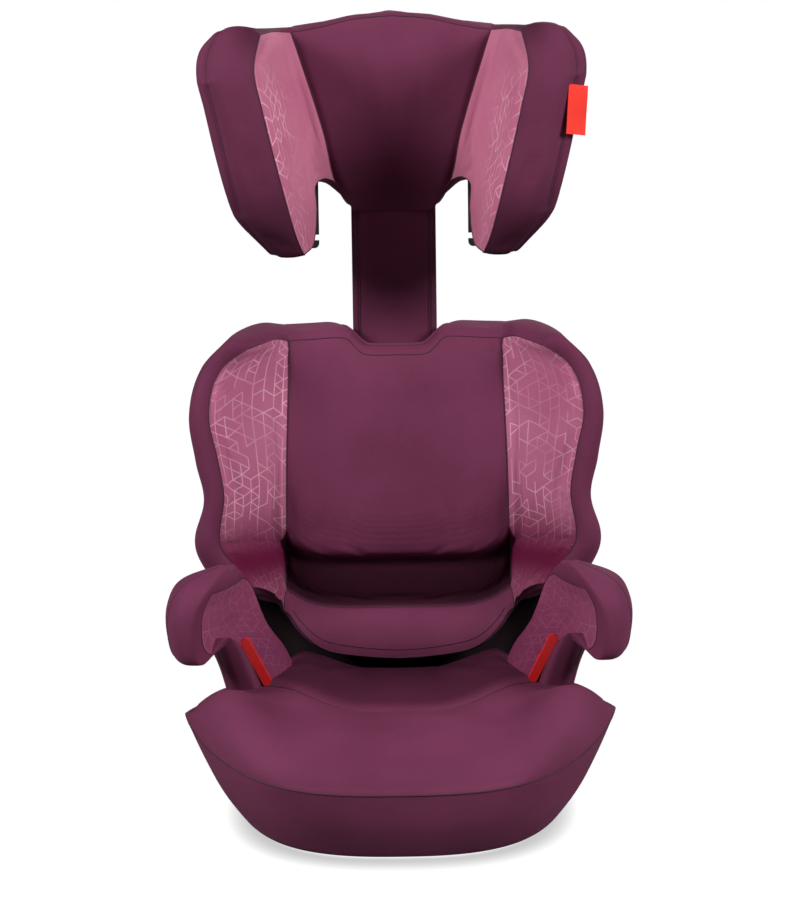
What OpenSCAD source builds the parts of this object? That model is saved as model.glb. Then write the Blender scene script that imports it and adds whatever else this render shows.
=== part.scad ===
// High-back booster seat: a padded base with armrests, a backrest that hooks onto a steel rod
// in the base, and a headrest that slides up and down behind a squeeze handle and latch.
// Millimetres. +Z is up, -Y is the front, and the floor is z = 0.

/* [Base] */
// Half width of the seat at its widest seam
seat_half_w = 213; // [200:1:220]
// Distance from the plan centre of the base to its front seam
seat_front_d = 168; // [155:1:180]
// Half width of the base where it meets the floor
floor_half_w = 152; // [140:1:170]
// Height of the plastic deck under the seat foam
deck_z = 70; // [62:1:74]
// Height of the soft seat in the middle
seat_z = 101; // [95:1:104]
// Height of the front bolster in the middle
bolster_z = 111; // [105:1:116]
// Height of the front bolster near the sides
ear_z = 147; // [135:1:155]

/* [Armrests] */
// Height of the armrest crown
arm_top_z = 252; // [245:1:265]
// Distance from the middle to the outer side of an armrest
arm_half_w = 235; // [228:1:240]

/* [Backrest] */
// Lean of the backrest from upright, in degrees
lean = 6; // [4:1:8]
// Distance of the hinge rod behind the plan centre of the whole seat
hinge_y = 120; // [117:1:123]
// Height of the hinge rod above the floor
hinge_z = 72; // [71:1:74]
// Radius of the hinge rod
rod_r = 5; // [4.5:0.5:5]
// Greatest half width of the backrest wings
back_half_w = 209; // [200:1:212]
// Height of the backrest shoulders above the hinge
shoulder_h = 389; // [385:1:392]
// Depth of the centre padding in front of the hinge
back_front = 46; // [44:1:48]
// How far the backrest wings stand in front of the hinge
back_wing_depth = 106; // [98:1:110]

/* [Headrest] */
// Greatest half width of the headrest
head_half_w = 190; // [180:1:195]
// Height of the headrest's lowest edge above the hinge
head_low = 449; // [447:1:455]
// Height of the headrest from its lowest edge to its top
head_h = 247; // [240:1:252]
// How far the headrest wings stand in front of the hinge
head_wing_depth = 152; // [140:1:156]
// Half width of the neck that slides in the backrest
neck_half_w = 43.5; // [42:0.5:44]
// Distance between two height stops
stop_pitch = 25; // [20:5:25]

/* [Fabric and shells] */
// Thickness of the fabric covers
cloth = 3; // [2:0.5:3]
// Thickness of the moulded plastic shells
wall = 4; // [3:0.5:4]
// Gap left between flat stacked layers
gap = 0.4; // [0.3:0.1:0.5]
// Gap left between curved stacked layers
slack = 2; // [2:0.5:3]

/* [Hidden] */

plum = "#5a2340";
pink = "#8d4163";
dark_plastic = "#4b4d52";
cool_plastic = "#8b95a3";
steel = "#b9bcc0";
foam_grey = "#c9c6c0";
red_plastic = "#d8262c";

plan_y = hinge_y - 171; // plan centre of the base outline
plan_power = 2.6;       // squareness of the base outline
rear_d = 212;           // distance from the plan centre to the rear edge of the base
shelf_z = 50;           // rear shelf that carries the hinge bracket
deck_rear_d = 134;      // distance from the plan centre to the rear edge of the raised deck
foot_h = 4;             // how far the rubber feet stand below the shell
run_gap = 0.06;         // running clearance of a bore around a rod or pin

// ---------- Maths helpers ----------

function mix(a, b, t) = a + (b - a) * t;
function clamp01(t) = min(1, max(0, t));
function ease(t) = let (c = clamp01(t)) c * c * (3 - 2 * c);
function roll(t) = let (c = 1 - clamp01(t)) sqrt(1 - c * c);
function flip(list) = [for (i = [len(list) - 1 : -1 : 0]) list[i]];

// Slope of a curve's keys at key i, from its neighbours
function slope(keys, i) =
    let (a = max(0, i - 1), b = min(len(keys) - 1, i + 1))
    (keys[b][1] - keys[a][1]) / (keys[b][0] - keys[a][0]);

// Smooth curve through keys given as [position, value], flat beyond both ends
function through(keys, t, i = 0) =
    t <= keys[0][0] ? keys[0][1]
    : i >= len(keys) - 1 ? keys[len(keys) - 1][1]
    : t > keys[i + 1][0] ? through(keys, t, i + 1)
    : let (
        h = keys[i + 1][0] - keys[i][0],
        s = (t - keys[i][0]) / h,
        rise = keys[i + 1][1] - keys[i][1]
    )
    keys[i][1] + rise * s * s * (3 - 2 * s)
        + h * s * (1 - s) * ((1 - s) * slope(keys, i) - s * slope(keys, i + 1));

// Point on a curve that leaves a towards b and arrives at c
function bend(a, b, c, t) = a * (1 - t) * (1 - t) + b * 2 * t * (1 - t) + c * t * t;

// ---------- Surface builders ----------

// Closed solid between two grids of points. Columns run to the right and rows upwards,
// as seen from outside the front grid.
module sheet(front, rear) {
    top = len(front) - 1;
    end = len(front[0]) - 1;
    size = (top + 1) * (end + 1);
    function f(r, c) = r * (end + 1) + c;
    function b(r, c) = size + r * (end + 1) + c;
    skins = [
        for (r = [0 : top - 1], c = [0 : end - 1])
        each [
            [f(r, c), f(r + 1, c), f(r + 1, c + 1)],
            [f(r, c), f(r + 1, c + 1), f(r, c + 1)],
            [b(r, c), b(r + 1, c + 1), b(r + 1, c)],
            [b(r, c), b(r, c + 1), b(r + 1, c + 1)],
        ]
    ];
    sills = [
        for (c = [0 : end - 1])
        each [
            [f(0, c), f(0, c + 1), b(0, c + 1)],
            [f(0, c), b(0, c + 1), b(0, c)],
            [f(top, c + 1), f(top, c), b(top, c)],
            [f(top, c + 1), b(top, c), b(top, c + 1)],
        ]
    ];
    sides = [
        for (r = [0 : top - 1])
        each [
            [f(r + 1, 0), f(r, 0), b(r, 0)],
            [f(r + 1, 0), b(r, 0), b(r + 1, 0)],
            [f(r, end), f(r + 1, end), b(r + 1, end)],
            [f(r, end), b(r + 1, end), b(r, end)],
        ]
    ];
    points = concat([for (row = front) each row], [for (row = rear) each row]);
    polyhedron(points = points, faces = concat(skins, sills, sides));
}

// Faces between stacked rings of n points each
function ring_faces(rows, n) = [
    for (r = [0 : rows - 1], c = [0 : n - 1])
    let (d = (c + 1) % n)
    each [
        [r * n + c, (r + 1) * n + c, (r + 1) * n + d],
        [r * n + c, (r + 1) * n + d, r * n + d],
    ]
];

// Mean of a ring's points
function middle(ring, i = 0, sum = [0, 0, 0]) =
    i == len(ring) ? sum / len(ring) : middle(ring, i + 1, sum + ring[i]);

// Closed solid through stacked rings, with both ends capped
module stack(rings) {
    n = len(rings[0]);
    rows = len(rings) - 1;
    last = rows * n;
    low = len(rings) * n;
    points = concat([for (ring = rings) each ring], [middle(rings[0]), middle(rings[rows])]);
    low_cap = [for (c = [0 : n - 1]) [c, (c + 1) % n, low]];
    high_cap = [for (c = [0 : n - 1]) [last + (c + 1) % n, last + c, low + 1]];
    polyhedron(points = points, faces = concat(ring_faces(rows, n), low_cap, high_cap));
}

// Closed band: an outer and an inner wall of rings joined at both edges
module band(outer, inner) {
    n = len(outer[0]);
    rings = concat(outer, flip(inner), [outer[0]]);
    rows = len(rings) - 1;
    count = rows * n;
    faces = [for (face = ring_faces(rows, n)) [for (i = face) i % count]];
    polyhedron(points = [for (r = [0 : rows - 1]) each rings[r]], faces = faces);
}

// Places a part of the base: origin on the floor under the plan centre
module on_base() {
    translate([0, plan_y, 0]) children();
}

// Places a part of the backrest or headrest: origin on the hinge rod, Z up along the lean
module on_back() {
    translate([0, hinge_y, hinge_z]) rotate([-lean, 0, 0]) children();
}

// A part drawn for the right side, or its mirror image for the left side
module on_side(side) {
    mirror([side < 0 ? 1 : 0, 0, 0]) children();
}

// Box from one corner to the opposite one
module block(low, high) {
    translate(low) cube(high - low);
}

// Cylinder along X, centred on x = 0
module across(length, r) {
    rotate([0, 90, 0]) cylinder(h = length, r = r, center = true, $fn = 64);
}

// Screw with its head outside y = 0 and its shank towards -Y
module rear_screw(shank, r = 2) {
    rotate([90, 0, 0]) {
        translate([0, 0, -2.2]) cylinder(h = 2.2, r = 2 * r, $fn = 32);
        cylinder(h = shank, r = r, $fn = 32);
    }
}

// Bar of size [x, y, z] with its long edges along Y rounded
module rounded_bar(size, r) {
    translate([0, size.y / 2, 0]) rotate([90, 0, 0]) linear_extrude(size.y) {
        square([size.x - 2 * r, size.z], center = true);
        square([size.x, size.z - 2 * r], center = true);
        for (sx = [-1, 1], sz = [-1, 1])
            translate([sx * (size.x / 2 - r), sz * (size.z / 2 - r)]) circle(r, $fn = 32);
    }
}

// ---------- Base: plan and wall ----------

ring_n = 44; // points around the base outline

function power(c, e) = sign(c) * pow(abs(c), e);

// Outline point at angle a, for a half width, a front depth and a rear depth
function outline(a, w, front, rear) =
    let (s = power(sin(a), 2 / plan_power))
    [w * power(cos(a), 2 / plan_power), s * (s < 0 ? front : rear)];

// Half width and front depth of the base wall at height z
function wall_w(z) = through([
    [0, floor_half_w], [40, mix(floor_half_w, seat_half_w, 0.43)],
    [76, mix(floor_half_w, seat_half_w, 0.76)], [112, seat_half_w],
], z);
function wall_front(z) = through([[0, seat_front_d - 22], [40, seat_front_d - 6], [76, seat_front_d]], z);

function base_ring(z, inset, rear) = [
    for (i = [0 : ring_n - 1])
    let (p = outline(360 * i / ring_n, wall_w(z) - inset, wall_front(z) - inset, rear - inset))
    [p.x, p.y, z]
];

// Height of the front and side seam of the seat at distance x from the middle
function seam_z(x) = 77 + 33 * pow(abs(x) / 208, 3);

module base_shell() {
    skin = cloth + slack;
    bevel = 4;
    top_inset = 80;
    outer = [
        base_ring(foot_h, skin, rear_d), base_ring(26, skin, rear_d), base_ring(shelf_z, skin, rear_d),
        base_ring(shelf_z + 1, skin, deck_rear_d), base_ring(deck_z - bevel, skin, deck_rear_d),
        base_ring(deck_z, skin + bevel, deck_rear_d), base_ring(deck_z, top_inset, deck_rear_d),
    ];
    deep = skin + wall;
    inner = [
        base_ring(foot_h, deep, rear_d), base_ring(26, deep, rear_d), base_ring(shelf_z - wall, deep, rear_d),
        base_ring(shelf_z - wall + 1, deep, deck_rear_d),
        base_ring(deck_z - bevel - wall, deep, deck_rear_d),
        base_ring(deck_z - wall, deep + bevel, deck_rear_d),
        base_ring(deck_z - wall, top_inset, deck_rear_d),
    ];
    color(dark_plastic) on_base() stack(concat(flip(inner), outer));
}

// Upper edge of the skirt: under the seat seam in front, down at the hinge shelf behind the arms
function skirt_top(p) =
    mix(mix(deck_z - 1, seam_z(p.x) - 8, 0.5), shelf_z + 2, ease((p.y + 20) / 60));

function skirt_ring(t, inset) = [
    for (i = [0 : ring_n - 1])
    let (
        a = 360 * i / ring_n,
        z = mix(2, skirt_top(outline(a, seat_half_w, seat_front_d, rear_d)), t),
        p = outline(a, wall_w(z) - inset, wall_front(z) - inset, rear_d - inset)
    )
    [p.x, p.y, z]
];

module base_skirt() {
    levels = [0 : 0.125 : 1];
    color(plum) on_base()
        band([for (t = levels) skirt_ring(t, 0)], [for (t = levels) skirt_ring(t, cloth)]);
}

front_foot = [86, -86];
rear_foot = [70, 168];
feet = [front_foot, rear_foot];
rib_z = 15.4;   // underside of the ribs, on top of the feet

module base_feet() {
    color("#222222") on_base() for (sx = [-1, 1], p = feet) translate([sx * p.x, p.y, 0]) {
        cylinder(h = 12, r = 13, $fn = 48);
        cylinder(h = rib_z - 0.2, r = 7, $fn = 48);
    }
}

// Ribs under the deck that carry the seat's weight down to the feet
module base_ribs() {
    deck_under = deck_z - wall - 0.4;
    shelf_under = shelf_z - wall - 0.4;
    color(dark_plastic) on_base() {
        for (sx = [-1, 1]) {
            translate([sx * front_foot.x, front_foot.y, rib_z]) cylinder(h = deck_under - rib_z, r = 11, $fn = 48);
            translate([sx * rear_foot.x, rear_foot.y, rib_z]) cylinder(h = shelf_under - rib_z, r = 11, $fn = 48);
            block([sx * 70 - 2, front_foot.y - 30, 24], [sx * 70 + 2, rear_foot.y, shelf_under]);
        }
        block([-front_foot.x, front_foot.y - 2, 24], [front_foot.x, front_foot.y + 2, deck_under - 4]);
        block([-rear_foot.x, rear_foot.y - 2, 24], [rear_foot.x, rear_foot.y + 2, shelf_under]);
        block([-110, 28, 24], [110, 32, shelf_under]);
    }
}

bracket_screws = [[80, 108], [28, 108]];
arm_screws = [[158, 60], [146, 100]];

module base_screws() {
    color(steel) {
        for (sx = [-1, 1], p = bracket_screws)
            translate([sx * p.x, p.y, shelf_z + 5.1]) rotate([90, 0, 0]) rear_screw(10);
        on_base() for (sx = [-1, 1], p = arm_screws)
            translate([sx * p.x, p.y, deck_z - wall - 0.1]) rotate([-90, 0, 0]) rear_screw(20);
    }
}

// ---------- Base: soft seat ----------

seat_edge = 208; // half width over which the soft seat is drawn
seat_cols = 24;
seat_rows = 14;

// Rear limit of the soft seat at distance x from the middle: straight, then along the arm posts
function seat_rear(x) =
    let (d = abs(x))
    d < 100 ? 124 : d < 152 ? mix(124, 26, (d - 100) / 52) : mix(26, -26, (d - 152) / 56);

function seat_front(x) =
    -seat_front_d * pow(max(0, 1 - pow(abs(x) / seat_half_w, plan_power)), 1 / plan_power);

// Crown of the seat before its edges roll down
function seat_crown(x, y) =
    let (
        bolster = mix(bolster_z, ear_z, ease((abs(x) - 95) / 75)),
        centre = seat_z + 14 * ease((abs(x) - 50) / 70) + 3 * ease((y - 40) / 90)
    )
    mix(bolster, centre, ease((y + 65) / 50));

function seat_top(x, y) =
    let (
        edge = seam_z(x),
        front = roll((y - seat_front(x)) / 70),
        side = roll((seat_edge - abs(x)) / 38),
        rear = abs(x) < 100 ? roll((seat_rear(x) + 6 - y) / 12) : roll((seat_rear(x) + 8 - y) / 24)
    )
    edge + (seat_crown(x, y) - edge) * front * side * rear;

// Underside of the foam: flat on the deck, and rising to the seam along the front and sides
function seat_under(x, y) =
    let (rim = max(ease((abs(x) - 168) / 38), ease(1 - (y - seat_front(x)) / 45)))
    deck_z + 1 + (seam_z(x) - 5 - deck_z) * rim;

// Grid over the soft seat, drawn in from its rim by inset; height is a function of x and y
function seat_grid(inset, height) = [
    for (j = [0 : seat_rows]) [
        for (i = [0 : seat_cols])
        let (
            x = (seat_edge - inset) * sin(90 * (2 * i / seat_cols - 1)),
            y = mix(seat_front(x) + inset + 1, seat_rear(x) - inset, pow(j / seat_rows, 1.4))
        )
        [x, y, height(x, y)]
    ]
];

seat_inset = cloth + gap;
least_seat = 1.2; // the seat foam never gets thinner than this

module seat_foam() {
    under = function(x, y) seat_under(x, y);
    top = function(x, y) max(seat_under(x, y) + least_seat, seat_top(x, y) - cloth - gap);
    color(foam_grey) on_base() sheet(seat_grid(seat_inset, top), seat_grid(seat_inset, under));
}

module seat_cover() {
    under = function(x, y) max(seat_under(x, y) + least_seat, seat_top(x, y) - cloth - gap) + gap;
    top = function(x, y) max(seat_under(x, y) + least_seat + gap + cloth, seat_top(x, y));
    color(plum) on_base() sheet(seat_grid(seat_inset, top), seat_grid(seat_inset, under));
}

// ---------- Hinge ----------

bracket_ears = [56, 104];
bracket_w = 8;
hook_x = 80;
hook_w = 28;
hook_r = 11;
rod_half = bracket_ears[1] + bracket_w / 2 + 5;

module hinge_bracket() {
    plate_low = shelf_z + 1.2;
    plate_top = shelf_z + 5;
    color(dark_plastic) difference() {
        union() {
            block([-109, hinge_y - 30, plate_low], [109, hinge_y + 13, plate_top]);
            for (sx = [-1, 1], x = bracket_ears) translate([sx * x, hinge_y, hinge_z]) {
                across(bracket_w, hook_r);
                block([-bracket_w / 2, -hook_r, plate_top - hinge_z - 1], [bracket_w / 2, hook_r, 0]);
            }
        }
        translate([0, hinge_y, hinge_z]) across(300, rod_r + run_gap);
        for (sx = [-1, 1], p = bracket_screws) translate([sx * p.x, p.y, shelf_z])
            cylinder(h = 10, r = 2.2, $fn = 32);
    }
}

module hinge_rod() {
    color(steel) translate([0, hinge_y, hinge_z]) across(2 * rod_half, rod_r);
}

// Spring clips that stop the rod from walking out of its bracket
module rod_clips() {
    color(steel) for (sx = [-1, 1]) translate([sx * (rod_half - 2.5), hinge_y, hinge_z]) difference() {
        across(1.2, rod_r + 3.5);
        across(4, rod_r + 0.03);
        block([-3, -1.5, 0], [3, 1.5, 12]);
    }
}

// Hook around the hinge rod, open towards the rear underside so the back can be lifted off
module back_hook(side) {
    color(dark_plastic) on_back() translate([side * hook_x, 0, 0]) difference() {
        union() {
            across(hook_w, hook_r);
            block([-hook_w / 2, -8, 0], [hook_w / 2, 4.6, 92]);
        }
        across(hook_w + 2, rod_r + run_gap);
        rotate([-35, 0, 0]) block([-hook_w, -4.2, -20], [hook_w, 4.2, 0]);
    }
}

// ---------- Armrests ----------

arm_n = 22;
arm_low = deck_z + 1.5;
// Levels from the root of an armrest to its crown, as fractions of its height
arm_levels = [0, 0.2, 0.41, 0.56, 0.67, 0.82, 0.94, 1];

// Centre, half length, half thickness and turn of an armrest's section at fraction f of its height
function arm_x(f) = arm_half_w - through([[0, 80], [0.2, 76], [0.41, 62], [0.58, 44], [0.7, 37], [1, 41]], f);
function arm_y(f) = through([[0, 68], [0.2, 64], [0.41, 54], [0.56, 32], [0.68, 2], [1, -2]], f);
function arm_half_length(f) = through([[0, 58], [0.41, 56], [0.67, 68], [0.82, 68], [0.94, 58], [1, 34]], f);
function arm_half_thickness(f) = through([[0, 23], [0.41, 23], [0.67, 31], [0.82, 35], [0.94, 29], [1, 13]], f);
function arm_turn(f) = through([[0, 27], [0.41, 19], [0.68, 8], [1, 8]], f);

function arm_ring(f, z, inset) =
    let (turn = arm_turn(f), thick = arm_half_thickness(f) - inset, long = arm_half_length(f) - inset)
    [
        for (i = [0 : arm_n - 1])
        let (a = 360 * i / arm_n, s = thick * power(cos(a), 0.8), t = long * power(sin(a), 0.8))
        [arm_x(f) + s * cos(turn) - t * sin(turn), arm_y(f) + t * cos(turn) + s * sin(turn), z]
    ];

function arm_rings(inset, drop) = [
    for (f = arm_levels) arm_ring(f, mix(arm_low, arm_top_z, f) - (f == 1 ? drop : 0), inset)
];

module arm_frame(side) {
    color(foam_grey) on_base() on_side(side) stack(arm_rings(cloth + slack, cloth + 2 * slack));
}

module arm_cover(side) {
    color(pink) on_base() on_side(side) stack(concat(flip(arm_rings(cloth, cloth)), arm_rings(0, 0)));
}

// Rail that keeps the lap belt low at the front of the arm post, on two legs from the post
module lap_belt_guide(side) {
    rail = [142.5, -2, 152];
    turn = 26;
    post_x = 163; // inner side of the post behind the rail
    color(red_plastic) on_base() on_side(side) {
        translate(rail) rotate([0, turn, 0]) rounded_bar([9, 5, 54], 4);
        for (z = [146, 164])
            let (x = rail.x + (z - rail.z) * tan(turn))
            translate([(x + post_x) / 2 - 1, 6.5, z]) rounded_bar([post_x - x + 2, 19, 7], 3);
    }
}

// ---------- Layers of the backrest and headrest ----------

// A padded body's shape is a list of four functions: its front and rear skins and its lower
// and upper edges.
front_skin = 0;
rear_skin = 1;
low_edge = 2;
top_edge = 3;

// u runs from the middle (0) over the panel seam to the front rim of a wing (1), and h is the
// height above the hinge. A station is [side, u, 1 on the front skin or 0 on the rear skin].
grid_cols = 26;
grid_rows = 12;
wrap_cols = 6;
wrap_u = 0.3; // part of the rear skin that the cover wraps around
rim_scale = 0.965; // draws the lining of a cover in from its rim

function row_of(reach, on_front) = [
    for (i = [0 : grid_cols])
    let (s = 2 * i / grid_cols - 1)
    [s < 0 ? -1 : 1, abs(s) * reach, on_front]
];

function wrap_of(side, scale) = [
    for (j = [0 : wrap_cols]) [side, (1 - wrap_u * j / wrap_cols) * scale, 0]
];

function cover_row(scale) = concat(flip(wrap_of(-1, scale)), row_of(scale, 1), wrap_of(1, scale));

// Point at depth d under the skin that the station lies on. It keeps a reserve to the other skin,
// but never rises above the least depth.
function under_skin(shape, station, h, d, reserve, least) =
    let (
        front = shape[front_skin](station[1], h),
        rear = shape[rear_skin](station[1], h),
        line = rear - front,
        span = norm(line),
        s = max(least, min(d, span - reserve)) / span,
        p = station[2] == 1 ? front + line * s : rear - line * s
    )
    [p.x * station[0], p.y, h];

function layer(shape, stations, d, cut_low = 0, cut_top = 0, reserve = 0, least = 0) = [
    for (j = [0 : grid_rows]) [
        for (station = stations)
        let (
            low = shape[low_edge](station[1]) + cut_low,
            top = shape[top_edge](station[1]) - cut_top,
            h = mix(low, top, j / grid_rows)
        )
        under_skin(shape, station, h, d, reserve, least)
    ]
];

foam_top = cloth + slack + 3;   // depth of the foam under the front skin
least_foam = 2;                // the foam never gets thinner than this
shell_out = cloth + slack + 0.6; // depth of a shell's outer face under the rear skin
shell_in = shell_out + wall;   // depth of its inner face

// ---------- Backrest ----------

back_u_seam = 0.58;
back_rear_y = 15; // rear skin of the backrest, behind the hinge

function back_seam_x(h) = mix(119, 109, clamp01((h - 90) / 270));
function back_rim_x(h) = back_half_w * through([
    [105, 0.66], [136, 0.77], [165, 0.862], [216, 0.838], [256, 0.866], [300, 0.902],
    [343, 0.84], [372, 0.64],
], h);
function back_outer_x(h) = back_half_w * through([
    [105, 0.86], [150, 0.975], [172, 0.988], [210, 0.938], [250, 0.975], [298, 1],
    [342, 0.938], [368, 0.80], [389, 0.66],
], h);
function back_rim_y(h) = -back_wing_depth * through([[100, 0.86], [170, 1], [300, 1], [389, 0.74]], h);
function back_centre_y(h) =
    -back_front + 6 * ease((160 - h) / 60) - 8 * ease((90 - h) / 60);

function back_front_point(u, h) =
    let (
        seam = [back_seam_x(h), back_centre_y(h) - 6],
        rim = [back_rim_x(h), back_rim_y(h)],
        t = (u - back_u_seam) / (1 - back_u_seam)
    )
    u < back_u_seam
        ? [seam.x * u / back_u_seam, seam.y + 6 - 6 * pow(u / back_u_seam, 2)]
        : bend(seam, [mix(seam.x, rim.x, 0.62), seam.y - 6], rim, t);

function back_rear_point(u, h) =
    let (
        seam = [back_seam_x(h) + 6, back_rear_y],
        side = back_outer_x(h),
        t = (u - back_u_seam) / (1 - back_u_seam)
    )
    u < back_u_seam
        ? [seam.x * u / back_u_seam, back_rear_y]
        : bend(seam, [side, back_rear_y - 2], [side, back_rim_y(h) + 10], t);

// Lower and upper edge of the cover along u
function back_low(u) = through([
    [0, 31], [0.3, 40], [0.46, 59], [back_u_seam, 84], [0.75, 106], [1, 116],
], u);
function back_top(u) = through([
    [0, 357], [0.17, 359], [0.25, 374], [0.36, 384], [0.55, shoulder_h], [0.78, shoulder_h - 4],
    [1, shoulder_h - 12],
], u);

back_shape = [
    function(u, h) back_front_point(u, h),
    function(u, h) back_rear_point(u, h),
    function(u) back_low(u),
    function(u) back_top(u),
];

module back_shell() {
    rear = row_of(0.86, 0);
    color(cool_plastic) on_back()
        sheet(layer(back_shape, rear, shell_in, 6, 9), layer(back_shape, rear, shell_out, 6, 9));
}

module back_foam() {
    front = row_of(0.88, 1);
    depth = 18;
    color(foam_grey) on_back() sheet(
        layer(back_shape, front, foam_top, 10, 14),
        layer(back_shape, front, foam_top + depth, 10, 14, shell_in + slack, foam_top + least_foam)
    );
}

module back_cover() {
    color(plum) on_back()
        sheet(layer(back_shape, cover_row(1), 0), layer(back_shape, cover_row(rim_scale), cloth));
}

// Flat pad that fills the hollow between the foam and the shell below the neck channel
module lumbar_pad() {
    color(foam_grey) on_back() translate([0, -6, 104]) rounded_bar([104, 12, 66], 10);
}

// ---------- Neck channel and height stops ----------

channel_low = 140;
channel_top = 352;
slot_half_w = neck_half_w + 1.5;
rack_low = 178;
stops = 7;
rack_y = 1.2;
rack_t = 2;
bolt_h = 7;
latch_h = rack_low + 2 * stop_pitch;
rack_end = rack_low + stops * stop_pitch;
rack_screw_h = [rack_low - 14, rack_end - 14];
channel_screw_h = [channel_low + 20, channel_top - 20];

// Moulded channel that guides the sliding neck of the headrest
module neck_channel() {
    color(dark_plastic) on_back() difference() {
        block([-slot_half_w - 9, -18.2, channel_low], [slot_half_w + 9, 3.2, channel_top]);
        block([-slot_half_w, -15.5, channel_low - 1], [slot_half_w, 12, channel_top + 1]);
    }
}

// Plastic mouth of the neck channel, under the U-shaped dip of the cover
module neck_collar() {
    color(dark_plastic) on_back() difference() {
        block([-slot_half_w - 9, -18.6, channel_top + 1], [slot_half_w + 9, 3.6, channel_top + 6]);
        block([-slot_half_w, -15.4, channel_top - 9], [slot_half_w, 2.2, channel_top + 9]);
    }
}

// Slotted steel strip; the latch bolt drops into one slot at each height
module height_rack() {
    color(steel) on_back() difference() {
        block([-17, rack_y, rack_low - 20], [17, rack_y + rack_t, rack_end - 6]);
        for (i = [0 : stops - 1]) translate([0, 0, rack_low + i * stop_pitch])
            block([-11, 0, -bolt_h / 2 - 1], [11, 6, bolt_h / 2 + 1]);
        for (sx = [-1, 1], h = rack_screw_h) translate([sx * 13, 6, h]) rotate([90, 0, 0])
            cylinder(h = 8, r = 1.7, $fn = 32);
    }
}

module back_screws() {
    shell_rear = back_rear_y - shell_out + 0.1;
    color(steel) on_back() {
        for (sx = [-1, 1], h = rack_screw_h) translate([sx * 13, shell_rear, h])
            rear_screw(shell_rear - rack_y - 0.1, 1.6);
        for (sx = [-1, 1], h = channel_screw_h) translate([sx * (slot_half_w + 4.5), shell_rear, h])
            rear_screw(14);
        for (sx = [-1, 1], h = [68, 84]) translate([sx * hook_x, shell_rear, h]) rear_screw(14);
    }
}

// ---------- Headrest ----------

head_u_seam = 0.42;
head_rear_y = 17; // rear skin of the headrest, behind the hinge

// Fraction of the headrest's height at h above the hinge
function head_f(h) = (h - head_low) / head_h;
function head_seam_x(h) = head_half_w * through([
    [0.2, 0.262], [0.31, 0.31], [0.49, 0.358], [0.61, 0.40], [0.77, 0.463], [0.93, 0.53],
], head_f(h));
function head_rim_x(h) = head_half_w * through([
    [0, 0.44], [0.11, 0.50], [0.31, 0.568], [0.63, 0.663], [0.785, 0.70], [0.94, 0.684],
], head_f(h));
function head_outer_x(h) = head_half_w * through([
    [0, 0.59], [0.08, 0.69], [0.19, 0.815], [0.33, 0.885], [0.68, 0.982], [0.79, 1],
    [0.86, 0.98], [0.91, 0.92], [0.96, 0.82],
], head_f(h));
function head_rim_y(h) = -head_wing_depth * through([[0, 0.80], [0.3, 0.94], [0.7, 1], [0.95, 0.91]], head_f(h));
function head_centre_y(h) = -through([[0.1, 18], [0.22, 21], [0.45, 33], [0.8, 38], [1, 38]], head_f(h));

function head_front_point(u, h) =
    let (
        seam = [head_seam_x(h), head_centre_y(h) - 4],
        rim = [head_rim_x(h), head_rim_y(h)],
        t = (u - head_u_seam) / (1 - head_u_seam)
    )
    u < head_u_seam
        ? [seam.x * u / head_u_seam, seam.y + 4 - 4 * pow(u / head_u_seam, 2)]
        : bend(seam, [mix(seam.x, rim.x, 0.8), seam.y - 8], rim, t);

function head_rear_point(u, h) =
    let (
        seam = [head_seam_x(h) + 8, head_rear_y],
        side = head_outer_x(h),
        t = (u - head_u_seam) / (1 - head_u_seam)
    )
    u < head_u_seam
        ? [seam.x * u / head_u_seam, head_rear_y]
        : bend(seam, [side, head_rear_y - 3], [side, head_rim_y(h) + 10], t);

// Lower and upper edge of the cover along u, with the notch beside the neck
function head_bottom(u) = head_low + head_h * through([
    [0, 0.20], [0.28, 0.22], [0.36, 0.31], [head_u_seam, 0.335], [0.5, 0.30], [0.62, 0.17],
    [0.8, 0.06], [1, 0.02],
], u);
function head_top(u) = head_low + head_h * through([
    [0, 1], [0.16, 0.985], [0.3, 0.95], [head_u_seam, 0.932], [0.7, 0.935], [1, 0.925],
], u);

head_shape = [
    function(u, h) head_front_point(u, h),
    function(u, h) head_rear_point(u, h),
    function(u) head_bottom(u),
    function(u) head_top(u),
];

module head_shell() {
    rear = row_of(0.93, 0);
    color(cool_plastic) on_back()
        sheet(layer(head_shape, rear, shell_in, 4, 5), layer(head_shape, rear, shell_out, 4, 5));
}

module head_foam() {
    front = row_of(0.92, 1);
    depth = 8;
    spine_room = head_rear_y - spine_y[0] + 2;
    color(foam_grey) on_back() sheet(
        layer(head_shape, front, foam_top, 5, 6),
        layer(head_shape, front, foam_top + depth, 5, 6, spine_room, foam_top + least_foam)
    );
}

module head_cover() {
    color(plum) on_back()
        sheet(layer(head_shape, cover_row(1), 0), layer(head_shape, cover_row(rim_scale), cloth));
}

// Impact foam inside a wing, between the soft foam and the outer shell
module wing_insert(side) {
    depth = foam_top + 12;
    stations = function(on_front) [for (u = [0.66 : 0.03 : 0.9]) [1, u, on_front]];
    color("#3a3a3c") on_back() on_side(side) sheet(
        layer(head_shape, stations(1), depth, 12, 12),
        layer(head_shape, stations(0), shell_in + slack + 1.5, 12, 12)
    );
}

spine_low = 205;
spine_top = 640;
spine_y = [-10.5, -3];
spine_wide_h = 504; // the spine widens above the neck sleeve
spine_screw_h = [560, 610];
spine_screw_x = 36;

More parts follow.
